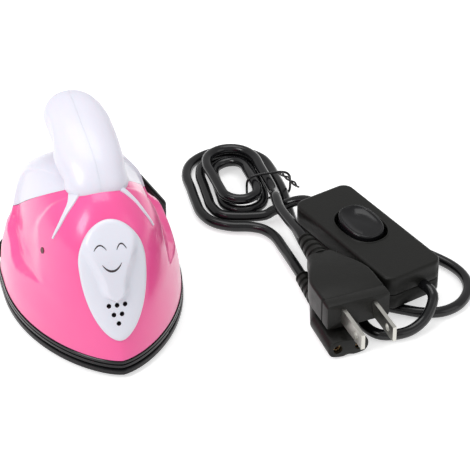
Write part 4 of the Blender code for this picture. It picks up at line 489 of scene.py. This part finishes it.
def with_lips(grid, normals, last):
    """Adds a lip that turns inwards along a skin's first row, and its last one if last is true."""
    before = [(grid[0] - normals[0] * deep)[None] for deep in FIRST_LIP[::-1]]
    after = [(grid[-1] - normals[-1] * deep)[None] for deep in LAST_LIP] if last else []
    return np.concatenate(before + [grid] + after)


def outwards(grid, inside):
    """The unit normals of a grid of places, turned away from a place inside it."""
    out = np.cross(np.gradient(grid, axis=1), np.gradient(grid, axis=0))
    out = out / np.maximum(np.linalg.norm(out, axis=-1, keepdims=True), 1e-12)
    return out * np.sign(((grid - np.array(inside)) * out).sum(-1).mean())


def add_body():
    """The pink shell up to the parting plane and the white cap behind it. Gives back the shell's skin."""
    around = all_round(SHELL_COLUMNS)
    split = split_level(around)
    share = np.linspace(0, 1, SKIN_ROWS)[:, None]
    skin = body_surface(around[None], share * (split - HALF_SEAM)[None])
    flat = with_lips(skin, outwards(skin, (0, 45.0, 30.0)), True).reshape(-1, 3)
    faces = grid_faces(len(flat) // SHELL_COLUMNS, SHELL_COLUMNS, True)
    x, y, z = flat[faces].mean(1).T
    window = (np.abs(x) < WINDOW_HALF) & (np.abs(z - WINDOW_MIDDLE) < WINDOW_TALL) & (y < WINDOW_REACH)
    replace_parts(piece("pink_shell", to_frame(flat), faces[~window], PINK, "iron", "pink_shell"), "body_shell")

    near = around[split < CAP_LEVEL]
    arc = np.linspace(near.min(), near.max(), CAP_COLUMNS)
    low = split_level(arc)
    cap = body_surface(arc[None], (low + HALF_SEAM)[None] + share * (TOP_LEVEL - low - HALF_SEAM)[None])
    top = cap[-1]
    middle_top = np.array([0, LID_MIDDLE, top[:, 2].mean()])
    lid = top[None] + (middle_top - top)[None] * np.linspace(0, 1, LID_ROWS)[1:, None, None]
    grid = np.concatenate([cap, lid])
    flat = with_lips(grid, outwards(grid, (0, 55.0, 20.0)), False).reshape(-1, 3)
    cover = piece("white_cap", to_frame(flat), grid_faces(len(flat) // CAP_COLUMNS, CAP_COLUMNS, False), WHITE, "iron",
                  "white_cover")
    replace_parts(cover, "rear_cap")
    return skin


SHELL_TREE = BVHTree.FromPolygons(to_frame(add_body()).reshape(-1, 3).tolist(),
                                  grid_faces(SKIN_ROWS, SHELL_COLUMNS, True).tolist())


# ---- face panel

# the panel: half width, height of its widest place, reach up and down from there, gap to the shell, thickness, and
# the shares of its size at which its rim starts and over which it rounds off; its columns, its lower half's power
PANEL_HALF, PANEL_MIDDLE, PANEL_UP, PANEL_DOWN = 12.1, 42.0, 15.0, 27.0
PANEL_GAP, PANEL_THICK, RIM_START, RIM_WIDTH = 0.3, 1.4, 0.90, 0.10
PANEL_COLUMNS, PANEL_POWER = 120, 1.12
# its tongue: shift left, height, half width, what that gains above the bend; heights of bend, top and foot; and the
# spans of the flare, of the top's slope, of the round end and of the sides' slope
TONGUE_LEFT, TONGUE_TALL, TONGUE_HALF, TONGUE_FLARE = 0.4, 2.3, 6.0, 5.0
TONGUE_BEND, TONGUE_TOP, TONGUE_FOOT = 35.0, 57.0, 30.2
TONGUE_FLARE_SPAN, TONGUE_TOP_SPAN, TONGUE_ROUND, TONGUE_SIDE = 17.0, 14.0, 4.8, 3.6
# the six holes: spacing, step down, top row's height, shift across, radius, and how far out lie their walls, which get
# painted shade
HOLE_SPACING, HOLE_STEP, HOLE_TOP, HOLE_SHIFT, HOLE_RADIUS, HOLE_WALL = 3.0, 3.3, 29.1, -0.4, 0.86, 0.885
# the smile: middle, half width, ends' height and rise of each eye, then the mouth's with its fall
EYES = (("left", -4.4, 2.15, 48.7, 1.5), ("right", 3.2, 1.75, 48.4, 1.6))
MOUTH_MIDDLE, MOUTH_HALF, MOUTH_ENDS, MOUTH_FALL = -0.85, 3.5, 44.3, 2.6
# a line's width at its ends and what its middle adds
EYE_LINE, MOUTH_LINE = (0.12, 0.30), (0.10, 0.72)
# its bead: places across, height in the middle and at the edges, and how much of that goes upwards
STROKE_COLUMNS, STROKE_TALL, STROKE_FOOT, STROKE_LIFT = 7, 0.07, 0.01, 0.4


def snout(x, z):
    """Height of the panel's tongue, from its half width at each height."""
    upper = TONGUE_HALF + TONGUE_FLARE * ease((z - TONGUE_BEND) / TONGUE_FLARE_SPAN) ** 0.9
    lower = TONGUE_HALF * np.sqrt(np.clip(1 - ((TONGUE_BEND - z) / TONGUE_ROUND) ** 2, 0, 1))
    side = ease((np.where(z > TONGUE_BEND, upper, lower) - np.abs(x + TONGUE_LEFT)) / TONGUE_SIDE)
    return side * TONGUE_TALL * ease((TONGUE_TOP - z) / TONGUE_TOP_SPAN) * np.where(z < TONGUE_FOOT, 0, 1)


def panel_ground(x, z):
    """Where the shell lies behind a place of the panel, and its outward direction, both in metres."""
    hit, normal, _, _ = SHELL_TREE.ray_cast(Vector((x * MM, -0.1, z * MM)), Vector((0, 1, 0)))
    if normal.y > 0:
        normal = -normal
    return np.array(hit), np.array(normal)


def panel_front(x, z, share=0.0):
    """A place on the panel's outer face: off the shell by gap and thickness, less at its rim, plus the tongue."""
    hit, normal = panel_ground(x, z)
    rim = math.sqrt(max(1 - max((share - RIM_START) / RIM_WIDTH, 0) ** 2, 0.0))
    return hit + normal * (PANEL_GAP + PANEL_THICK * rim) * MM + np.array([0, -1, 0]) * float(snout(x, z)) * MM


def panel_plan(share, turn):
    """Across and height of a place of the egg, which is a round above its middle and pointed below."""
    c, s = math.cos(turn), math.sin(turn)
    across = math.copysign(abs(c) ** (1.0 if s >= 0 else PANEL_POWER), c)
    return PANEL_HALF * across * share, PANEL_MIDDLE + (PANEL_UP if s >= 0 else PANEL_DOWN) * s * share


def add_bore(shape, centre, degrees, radius, depth, sides):
    """Adds a cylinder to a bmesh shape: along Y turned by the degrees, its radius and depth in millimetres."""
    turn = Matrix.Rotation(math.radians(degrees), 4, "Z") @ Matrix.Rotation(math.radians(90), 4, "X")
    bmesh.ops.create_cone(shape, cap_ends=True, segments=sides, radius1=radius * MM, radius2=radius * MM,
                          depth=depth * MM, matrix=Matrix.Translation(Vector(centre)) @ turn)


def add_panel():
    """The egg-shaped panel as a closed plate with a rounded rim and six bored holes, their walls dark with painted
    shade.
    """
    turns = all_round(PANEL_COLUMNS)
    rows = []
    for share in (0.0, 0.5, 1.0):
        grounds = [panel_ground(*panel_plan(share, turn)) for turn in turns]
        rows.append([hit + normal * PANEL_GAP * MM for hit, normal in grounds])
    shares = np.concatenate([[1.0, 0.995, 0.985, 0.97, 0.95, 0.92], np.linspace(0.89, 0.0, 48)])
    for share in shares:
        rows.append([panel_front(*panel_plan(share, turn), share) for turn in turns])
    grid = np.array(rows)
    panel = piece("smiling_panel", grid.reshape(-1, 3), grid_faces(len(grid), PANEL_COLUMNS, True), PANEL_WHITE, "iron",
                  "white_cover", smooth=50)
    bores = bmesh.new()
    holes = [((k - (count - 1) / 2) * HOLE_SPACING + HOLE_SHIFT, HOLE_TOP - row * HOLE_STEP)
             for row, count in enumerate((3, 2, 1)) for k in range(count)]
    for x, z in holes:
        add_bore(bores, (x * MM, -40 * MM, z * MM), 0, HOLE_RADIUS, 30, 28)
    made = cut_out(panel, bores, "bores")
    made.set_sharp_from_angle(angle=math.radians(50))
    # the holes' walls get the second material, the painted shade
    made.materials.append(PAINTED_SHADE)
    for face in made.polygons:
        middle = np.array(face.center) / MM
        for x, z in holes:
            if math.hypot(middle[0] - x, middle[2] - z) < HOLE_WALL and abs(face.normal.y) < 0.2:
                face.material_index = 1
    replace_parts(panel, "face_panel")


add_panel()


def add_stroke(name, path, widths):
    """A thin moulded line on the panel: a low rounded bead along places (x, z) in millimetres, dark with painted shade.
    """
    path = np.array(path)
    along = np.gradient(path, axis=0)
    along /= np.linalg.norm(along, axis=1, keepdims=True)
    side = np.stack([-along[:, 1], along[:, 0]], -1)
    spots = []
    for p, n, width in zip(path, side, widths):
        for t in np.linspace(-1, 1, STROKE_COLUMNS):
            tall = STROKE_TALL * math.sqrt(max(1 - t * t, 0)) + STROKE_FOOT
            spots.append(panel_front(*(p + n * t * width / 2)) + np.array([0, -1, STROKE_LIFT]) * tall * MM)
    piece(name, spots, grid_faces(len(path), STROKE_COLUMNS, False), PAINTED_SHADE, "iron", "black_base", smooth=80)


def add_smile():
    """Two closed eyes that arch up and a mouth that hangs, each a line of painted shade, thickest in the middle."""
    t = np.linspace(-1, 1, 41)
    swell = np.sqrt(np.clip(1 - t**2, 0, 1))
    for side, across, half, ends, rise in EYES:
        path = np.stack([across + half * t, ends + rise * (1 - t**2)], -1)
        add_stroke("closed_eye_" + side, path, EYE_LINE[0] + EYE_LINE[1] * swell)
    path = np.stack([MOUTH_HALF * t + MOUTH_MIDDLE, MOUTH_ENDS - MOUTH_FALL * (1 - np.abs(t) ** 2.2)], -1)
    add_stroke("smile", path, MOUTH_LINE[0] + MOUTH_LINE[1] * swell**1.6)


add_smile()


# ---- handle

# the handle: foot (behind, height), reach, greatest half width and half depth, and lean to the left, of which the
# spine's rows are shares; its sections' power, each half's columns and rows, and the rows that crowd to its tip
HANDLE_FOOT, HANDLE_REACH, HANDLE_HALF, HANDLE_THICK, HANDLE_LEAN = (39.0, 48.0), (41.2, 26.8), 12.8, 9.0, 2.5
HANDLE_POWER, HANDLE_COLUMNS, HANDLE_ROWS, TIP_ROWS = 0.9, 90, 90, 24
SPINE = np.array([(HANDLE_FOOT[0] + HANDLE_REACH[0] * a, HANDLE_FOOT[1] + HANDLE_REACH[1] * b, HANDLE_HALF * c,
                   HANDLE_THICK * d, HANDLE_LEAN * e) for a, b, c, d, e in (
    (0.000, 0.000, 0.805, 1.000, 0.00), (0.000, 0.243, 0.805, 1.000, 0.00), (0.007, 0.410, 0.828, 1.000, 0.04),
    (0.049, 0.552, 0.883, 0.980, 0.12), (0.146, 0.664, 0.953, 0.920, 0.32), (0.303, 0.757, 0.992, 0.867, 0.56),
    (0.473, 0.832, 1.000, 0.811, 0.76), (0.631, 0.884, 0.977, 0.767, 0.88), (0.765, 0.929, 0.883, 0.700, 0.96),
    (0.874, 0.963, 0.727, 0.600, 1.00), (0.951, 0.985, 0.523, 0.456, 1.00), (1.000, 1.000, 0.266, 0.244, 1.00),
)])
# the thumb's dimple: its level, half length in levels, half width in radians and depth as a share
DIMPLE_LEVEL, DIMPLE_LONG, DIMPLE_WIDE, DIMPLE_DEEP = 6.4, 1.25, 0.55, 0.20
# the flare round the neck: its height, half height and share of the size
FLARE_HEIGHT, FLARE_TALL, FLARE_SHARE = 60.5, 1.9, 0.10
# the seam between the halves: half its gap in radians, and the reach of its lip and its wall to the spine
SEAM_HALF, SEAM_LIP, SEAM_WALL = 0.0004, 0.008, 0.16
# the rings that close the tip: share of the last section and millimetres past it; and their rise on the way
TIP_RINGS, TIP_RISE = ((0.75, 0.35), (0.45, 0.6), (0.15, 0.75), (0.0, 0.77)), 0.3


def handle_surface(level, angle):
    """Superellipse sections square to the spine, flared at the foot, with a thumb dimple in the left side."""
    centre = catmull(SPINE, level)
    step = 0.02
    ahead, behind = catmull(SPINE, level + step), catmull(SPINE, level - step)
    forward = ahead[..., :2] - behind[..., :2]
    forward /= np.maximum(np.linalg.norm(forward, axis=-1, keepdims=True), 1e-9)
    c, s = np.cos(angle), np.sin(angle)
    across, deep = signed_power(c, HANDLE_POWER), signed_power(s, HANDLE_POWER)
    dimple = np.exp(-(((level - DIMPLE_LEVEL) / DIMPLE_LONG) ** 2 + ((angle - math.pi) / DIMPLE_WIDE) ** 2) ** 1.6)
    flare = 1 + FLARE_SHARE * np.exp(-((centre[..., 1] - FLARE_HEIGHT) / FLARE_TALL) ** 2)
    half, thick = centre[..., 2] * (1 - DIMPLE_DEEP * dimple) * flare, centre[..., 3] * flare
    x = across * half - centre[..., 4]
    y = centre[..., 0] - forward[..., 1] * deep * thick
    z = centre[..., 1] + forward[..., 0] * deep * thick
    return np.stack([x, y, z], -1)


def add_handle():
    """Two half shells that meet on a fine seam, with rolled edges and a rounded end."""
    end = len(SPINE) - 1
    levels = np.concatenate([np.linspace(0, end - 1, HANDLE_ROWS), end - np.linspace(1, 0, TIP_ROWS)[1:] ** 1.5])
    for name, first in (("right", -math.pi / 2), ("left", math.pi / 2)):
        angle = first + np.linspace(SEAM_HALF, math.pi - SEAM_HALF, HANDLE_COLUMNS)
        grid = handle_surface(levels[:, None], angle[None])
        tip = (grid[-1, 0] + grid[-1, -1]) / 2
        for shrink, reach in TIP_RINGS:
            ring = tip + (grid[len(levels) - 1] - tip) * shrink + np.array([0, reach, reach * TIP_RISE])
            grid = np.concatenate([grid, ring[None]])
        centre = catmull(SPINE, np.concatenate([levels, [end] * len(TIP_RINGS)]))
        axis = np.stack([-centre[:, 4], centre[:, 0], centre[:, 1]], -1)[:, None]
        edge_a, edge_b = grid[:, :1], grid[:, -1:]
        rows = [edge_a + (axis - edge_a) * SEAM_WALL, edge_a + (axis - edge_a) * SEAM_LIP, grid,
                edge_b + (axis - edge_b) * SEAM_LIP, edge_b + (axis - edge_b) * SEAM_WALL]
        full = np.concatenate(rows, axis=1)
        half = piece("handle_half_" + name, to_frame(full.reshape(-1, 3)), grid_faces(*full.shape[:2], False), WHITE,
                     "iron", "white_cover", smooth=55)
        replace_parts(half, "handle_" + name)


add_handle()


# ---- strips beside the face

# across, behind, height and half width along each strip, from the handle's foot to its tip
STRIPS = {
    "left": ((-8.4, 35.6, 61.4, 3.3), (-10.9, 32.2, 59.3, 1.75), (-13.3, 30.3, 56.5, 1.05), (-16.4, 28.8, 52.0, 0.75),
             (-19.0, 28.7, 46.9, 0.40)),
    "right": ((7.6, 32.6, 61.6, 1.30), (11.7, 30.1, 57.9, 0.75), (14.9, 27.8, 53.4, 0.60), (17.9, 26.8, 47.6, 0.38)),
}
# steps along a strip, its half height at its tip and what the handle's foot adds, and its section's power
STRIP_STEPS, STRIP_TALL, STRIP_TALLER, STRIP_POWER = 59, 0.55, 0.35, 0.6


def add_strips():
    """White ribs that spring from the handle's foot, run down the flanks and taper to a fine tip."""
    ca, sa = (signed_power(wave(all_round(24))[:, None], STRIP_POWER) for wave in (np.cos, np.sin))
    for name, table in STRIPS.items():
        route = catmull(table, np.linspace(0, len(table) - 1, STRIP_STEPS + 1))
        centres = to_frame(route[:, :3])
        rings = []
        for k, half in enumerate(route[:, 3] * MM):
            along = Vector(centres[min(k + 1, STRIP_STEPS)] - centres[max(k - 1, 0)]).normalized()
            hit, normal, _, _ = SHELL_TREE.find_nearest(Vector(centres[k]))
            if normal.x * hit.x < 0:
                normal = -normal
            across = along.cross(normal).normalized()
            tall = (STRIP_TALL + STRIP_TALLER * (1 - k / STRIP_STEPS)) * MM
            rings.append(np.array(hit) + ca * np.array(across * half) + sa * np.array(normal * tall))
        lofted("flank_strip_" + name, rings, "side_strip_" + name, WHITE, "iron", "white_cover", smooth=50)


add_strips()


# ---- skirt and base tray

# the plan: widest place, powers ahead of it and behind it, the nose's inset to the sides', and a rim's columns
PLAN_WIDEST, NOSE_POWER, TAIL_POWER, NOSE_INSET, RIM_COLUMNS = 59, 1.36, 0.42, 1.6, 480


def swept_rim(name, front, half, rear, profile, body, node_name):
    """A rim: a profile of (inset, height) pairs in millimetres, carried round the pointed plan."""
    turn = all_round(RIM_COLUMNS)
    s, c = np.abs(np.sin(turn)), np.cos(turn)
    across = np.where(c >= 0, s**NOSE_POWER, s**TAIL_POWER) * np.where(turn <= math.pi, 1, -1)
    rows = []
    for inset, height in profile:
        ahead = (front + NOSE_INSET * inset - PLAN_WIDEST) * c
        behind = (rear - inset - PLAN_WIDEST) * np.abs(c) ** TAIL_POWER
        y = PLAN_WIDEST + np.where(c >= 0, ahead, behind)
        rows.append(np.stack([(half - inset) * across, y, np.full_like(y, height)], -1))
    item = piece(name, to_frame(np.array(rows)).reshape(-1, 3), grid_faces(len(rows), RIM_COLUMNS, True), BLACK_GLOSS,
                 body, "black_base", smooth=35)
    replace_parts(item, node_name)


swept_rim("black_skirt", 0.8, 34.3, 81.8, (
    (10.9, 6.1), (3.6, 6.1), (3.5, 3.95), (3.3, 3.9), (0.5, 3.9), (0.15, 4.0), (0.0, 4.25), (0.0, 5.35), (0.35, 5.5),
    (0.35, 5.75), (0.05, 5.9), (0.05, 6.75), (0.25, 6.98), (0.5, 7.0), (10.8, 7.0), (10.9, 6.9), (10.9, 6.1)),
    "iron", "heat_skirt")
swept_rim("base_rim", 0.0, 34.5, 84.5, (
    (34.0, 1.25), (0.9, 1.25), (0.3, 1.35), (0.0, 1.7), (0.0, 3.1), (0.15, 3.45), (0.45, 3.6), (1.0, 3.6), (1.2, 3.45),
    (1.3, 3.2), (1.4, 2.35), (1.7, 2.2), (34.0, 2.2)), "base", "base_tray")


# ---- switch box

SWITCH_TURN = math.radians(19.5)
SATIN = (BLACK_SATIN, "base", "black_switch")
ALONG = np.array([math.sin(SWITCH_TURN), -math.cos(SWITCH_TURN), 0])
ACROSS = np.array([math.cos(SWITCH_TURN), math.sin(SWITCH_TURN), 0])
UP = np.array([0, 0, 1.0])
SWITCH_CENTRE = np.array([105.9, 42.5, 0])
SWITCH_HALF_WIDTH, SWITCH_HALF_LENGTH = 13.2, 31.65
# the box halves' rings as (inset, height, corner)
SWITCH_LOWER = ((0.9, 4.8, 4.2), (0.25, 5.05, 4.8), (0.0, 5.6, 5.0), (0.0, 10.75, 5.0), (0.12, 10.95, 4.9),
                (0.35, 11.0, 4.7))
SWITCH_UPPER = ((0.35, 11.35, 4.7), (0.10, 11.4, 4.9), (0.0, 11.6, 5.0), (0.0, 17.6, 5.0), (0.18, 18.3, 4.9),
                (0.6, 18.8, 4.6), (1.2, 18.98, 4.2), (1.8, 19.0, 3.8))
# the rocker's shift from the box's middle, its half sizes, its tilt in degrees and its oval's power
ROCKER_SHIFT, ROCKER_HALF_WIDTH, ROCKER_HALF_LENGTH, ROCKER_TILT, ROCKER_POWER = 4.0, 7.4, 10.0, 7, 0.85
# the rocker's rings as (growth, height, share of the tilt)
ROCKER_RINGS = ((-0.4, 16.6, 1), (0.0, 17.0, 1), (0.0, 20.6, 1), (-0.12, 21.0, 1), (-0.4, 21.22, 1), (-0.75, 21.25, 1),
                (-1.0, 21.05, 1), (-1.3, 20.7, 1), (-4.0, 20.45, 0.6), (-6.8, 20.4, 0))
# the well: how much longer than the rocker's oval it is, its rim's and its walls' rings as (growth, height)
WELL_LONGER = 0.9
WELL_RIM = ((1.75, 19.0), (1.6, 19.2), (1.35, 19.28), (1.1, 19.2), (1.0, 18.95))
WELL_WALLS = ((1.2, 13.6), (1.2, 20.0))


def rounded_rectangle(half_x, half_y, corner, count=12):
    """Four corners as quarter rounds of count places each, as (x, y) pairs going round."""
    return np.array([(sx * (half_x - corner) + corner * math.cos(a), sy * (half_y - corner) + corner * math.sin(a))
                     for k, (sx, sy) in enumerate(((1, 1), (-1, 1), (-1, -1), (1, -1)))
                     for a in np.linspace(k * math.pi / 2, (k + 1) * math.pi / 2, count)])


def in_switch(plan, height):
    """Places across and along the switch box from its centre, as metres in the frame."""
    return to_frame(SWITCH_CENTRE + plan[:, :1] * ACROSS - plan[:, 1:] * ALONG + UP * height)


def hollow_out(item, rings):
    """Cuts the space inside a stack of rings out of a piece."""
    shape = bmesh.new()
    verts = [shape.verts.new(spot) for spot in np.concatenate(rings).tolist()]
    columns = len(rings[0])
    for corners in (range(columns), range(-columns, 0), *grid_faces(len(rings), columns, True)):
        shape.faces.new([verts[k] for k in corners])
    bmesh.ops.recalc_face_normals(shape, faces=shape.faces)
    cut_out(item, shape, "well").set_sharp_from_angle(angle=math.radians(50))


def add_switch():
    """Two box halves that meet at a fine groove, and the tall oval rocker in its well."""
    for name, rows, node_name in (("switch_box_lower", SWITCH_LOWER, "switch_base"),
                                  ("switch_box_upper", SWITCH_UPPER, "switch_cover")):
        rings = [in_switch(rounded_rectangle(SWITCH_HALF_WIDTH - inset, SWITCH_HALF_LENGTH - inset,
                                             max(corner - inset, 1.0)), height) for inset, height, corner in rows]
        item = lofted(name, rings, node_name, *SATIN, smooth=50)
    centre = SWITCH_CENTRE - ALONG * ROCKER_SHIFT
    k = all_round(96)
    oval = np.stack([signed_power(np.cos(k), ROCKER_POWER), signed_power(np.sin(k), ROCKER_POWER)], -1)

    def ring(grow, height, tilt, longer):
        x, y = oval[:, 0] * (ROCKER_HALF_WIDTH + grow), oval[:, 1] * (ROCKER_HALF_LENGTH + grow + longer)
        rise = height + y * math.sin(tilt)
        return to_frame(centre + x[:, None] * ACROSS - y[:, None] * ALONG + rise[:, None] * UP)

    hollow_out(item, [ring(grow, height, 0, WELL_LONGER) for grow, height in WELL_WALLS])
    grid = np.array([ring(grow, height, 0, WELL_LONGER) for grow, height in WELL_RIM])
    piece("rocker_well_rim", grid.reshape(-1, 3), grid_faces(len(grid), len(k), True), *SATIN, smooth=60)
    tilt = math.radians(ROCKER_TILT)
    rocker = [ring(grow, height, tilt * share, 0) for grow, height, share in ROCKER_RINGS]
    lofted("oval_rocker", rocker, "switch_rocker", BLACK_GLOSS, "rocker", "black_switch", smooth=50)


add_switch()


# ---- plug and connector

# the middle of the plug's and of the connector's face, and the degrees that each is turned from -Y
PLUG_FACE, PLUG_TURN = (89.3, -1.8, 15.3), 8
CONNECTOR_FACE, CONNECTOR_TURN = (83.8, -8.2, 4.3), 5.8
# the plug's sections as (distance behind the face, half width, half height, corner)
PLUG_SECTIONS = (
    (35.0, 5.6, 4.0, 2.2), (34.4, 5.8, 4.1, 2.2), (29.0, 7.6, 4.9, 2.0), (24.5, 9.8, 5.3, 1.6), (21.0, 11.4, 5.4, 1.4),
    (18.0, 12.3, 5.5, 1.3), (15.0, 12.6, 5.5, 1.2), (6.0, 12.75, 5.5, 1.2), (5.6, 12.3, 5.3, 1.2),
    (5.0, 12.3, 5.3, 1.2), (4.6, 12.8, 5.5, 1.2), (0.8, 12.8, 5.5, 1.2), (0.2, 12.6, 5.3, 1.1), (0.0, 12.2, 4.9, 0.9),
)
# the connector's sections as (distance behind the face, half width, half height, waist)
CONNECTOR_SECTIONS = ((30.0, 3.95, 3.7, 0), (29.5, 4.0, 3.8, 0), (24.0, 6.1, 3.9, 0), (18.6, 8.1, 4.0, 0),
                      (18.0, 8.1, 4.0, 0.1), (12.0, 8.1, 4.0, 0.16), (0.5, 8.1, 4.0, 0.16), (0.1, 7.9, 3.8, 0.16),
                      (0.0, 7.7, 3.6, 0.16))
WAIST_HALF, CONTACT_HALF_SPACING, CONTACT_BORE = 1.6, 4.3, 1.8
# each strain relief's start behind the face, length, radius at root and tip, and number of ribs
PLUG_RELIEF, CONNECTOR_RELIEF = (35.3, 15.0, 4.4, 3.0, 4), (30.3, 17.0, 3.8, 2.9, 5)
# their grooves: depth, start in the wave between ribs, how sharply they fall, and the shares of the length between
# which they lie; then the share at which the end rounds off, the span of that and its least squared radius
GROOVE_DEEP, GROOVE_START, GROOVE_EDGE, GROOVE_FIRST, GROOVE_LAST = 0.75, 0.45, 0.25, 0.06, 0.97
END_START, END_SPAN, END_LEAST = 0.96, 0.05, 0.3


def turned_frame(face, degrees):
    """A face's middle, the direction out of it and the direction across it."""
    angle = math.radians(degrees)
    out = np.array([math.sin(angle), -math.cos(angle), 0])
    across = np.array([math.cos(angle), math.sin(angle), 0])
    return np.array(face, float), out, across


def relief(name, face, out, across, behind, length, root, tip, ribs, node_name):
    """A strain relief: a tapering round sleeve cut by ribs whose edges are rounded."""
    a = all_round(48)
    circle = np.cos(a)[:, None] * across + np.sin(a)[:, None] * UP
    shares = np.linspace(0, 1, 90)
    wave = 0.5 + 0.5 * np.cos(2 * math.pi * ribs * shares)
    groove = GROOVE_DEEP * ease((GROOVE_START - wave) / GROOVE_EDGE) * (shares > GROOVE_FIRST) * (shares < GROOVE_LAST)
    radius = root + (tip - root) * shares - groove
    radius *= np.sqrt(np.clip(1 - np.clip((shares - END_START) / END_SPAN, 0, 1) ** 2, END_LEAST, 1))
    rings = [to_frame(face - out * (behind + length * share) + r * circle) for share, r in zip(shares, radius)]
    return lofted(name, rings, node_name, *SATIN, smooth=45)


def add_plug():
    """The flat plug: it widens from its neck to shoulders, then runs straight to a bevelled face."""
    face, out, across = turned_frame(PLUG_FACE, PLUG_TURN)
    rings = []
    for back, *section in PLUG_SECTIONS:
        plan = rounded_rectangle(*section, 8)
        rings.append(to_frame(face - out * back + plan[:, :1] * across + plan[:, 1:] * UP))
    body = lofted("two_pin_plug", rings, "plug_body", *SATIN, smooth=32)
    end = relief("plug_strain_relief", face, out, across, *PLUG_RELIEF, "plug_relief")
    return body, end


def add_connector():
    """The figure-8 connector: two joined rounds, a waist between them, and bored contacts."""
    face, out, across = turned_frame(CONNECTOR_FACE, CONNECTOR_TURN)
    a = all_round(96)

    def ring(back, half_width, half_height, waist):
        reach = half_width - half_height
        x = np.sign(np.cos(a)) * reach * np.clip(np.abs(np.cos(a)) * 1.6, 0, 1) + half_height * np.cos(a)
        pinch = 1 - waist * np.exp(-(x / WAIST_HALF) ** 2)
        return to_frame(face - out * back + x[:, None] * across + (half_height * np.sin(a) * pinch)[:, None] * UP)

    rings = [ring(*section) for section in CONNECTOR_SECTIONS]
    body = lofted("figure_8_connector", rings, "connector_body", *SATIN, smooth=40)
    bores = bmesh.new()
    for side in (-1, 1):
        centre = to_frame(face + across * side * CONTACT_HALF_SPACING).tolist()
        add_bore(bores, centre, CONNECTOR_TURN, CONTACT_BORE, 20, 32)
    cut_out(body, bores, "connector_bores")
    end = relief("connector_strain_relief", face, out, across, *CONNECTOR_RELIEF, "connector_relief")
    return body, end


plug_body, plug_end = add_plug()
connector_body, connector_end = add_connector()


# ---- floor and light

# the floor's half size and height in metres, its glow, and the surround's strength
FLOOR_HALF, FLOOR_HEIGHT, FLOOR_GLOW, SURROUND = 3, -0.0002, 0.55, 0.56
# the soft lamps: place, size in metres and power, and the place that they all face
LAMPS = (("key", (-0.55, -0.25, 0.60), 0.35, 2.9), ("top", (0.05, 0.20, 0.80), 0.5, 1.9),
         ("fill", (0.65, -0.55, 0.40), 0.6, 0.8))
LAMP_AIM = (0.03, 0.02, 0.02)


def add_stage():
    """A near-white floor that stays matt, a bright even surround and three soft lamps."""
    mesh = bpy.data.meshes.new("floor")
    corners = [(x * FLOOR_HALF, y * FLOOR_HALF, FLOOR_HEIGHT) for x, y in ((-1, -1), (1, -1), (1, 1), (-1, 1))]
    mesh.from_pydata(corners, [], [(0, 1, 2, 3)])
    floor = added("floor", mesh)
    paper = moulded("floor_paper", (0.80, 0.80, 0.80), 0.9, grain=300.0, height=0.00002, tone=0.002)
    tree = paper.node_tree
    glow = tree.nodes["Principled BSDF"]
    glow.inputs["Emission Color"].default_value = (1.0, 1.0, 1.0, 1.0)
    ray = node(tree, "ShaderNodeLightPath")
    seen = ray.outputs["Is Camera Ray"]
    for kind in ("Is Glossy Ray", "Is Transmission Ray"):
        either = node(tree, "ShaderNodeMath", operation="MAXIMUM")
        tree.links.new(seen, either.inputs[0])
        tree.links.new(ray.outputs[kind], either.inputs[1])
        seen = either.outputs["Value"]
    strength = node(tree, "ShaderNodeMath", ((1, FLOOR_GLOW),), operation="MULTIPLY")
    tree.links.new(seen, strength.inputs[0])
    tree.links.new(strength.outputs["Value"], glow.inputs["Emission Strength"])
    mesh.materials.append(paper)
    world = bpy.data.worlds.new("studio")
    world.use_nodes = True
    world.node_tree.nodes["Background"].inputs["Color"].default_value = (1.0, 1.0, 1.0, 1.0)
    world.node_tree.nodes["Background"].inputs["Strength"].default_value = SURROUND
    bpy.context.scene.world = world
    for name, spot, size, energy in LAMPS:
        data = bpy.data.lights.new(name, "AREA")
        data.size = size
        data.energy = energy
        lamp = added(name, data)
        lamp.location = spot
        aim = Vector(LAMP_AIM) - lamp.location
        lamp.rotation_euler = aim.to_track_quat("-Z", "Y").to_euler()
    bpy.context.scene.view_settings.view_transform = "Standard"


add_stage()
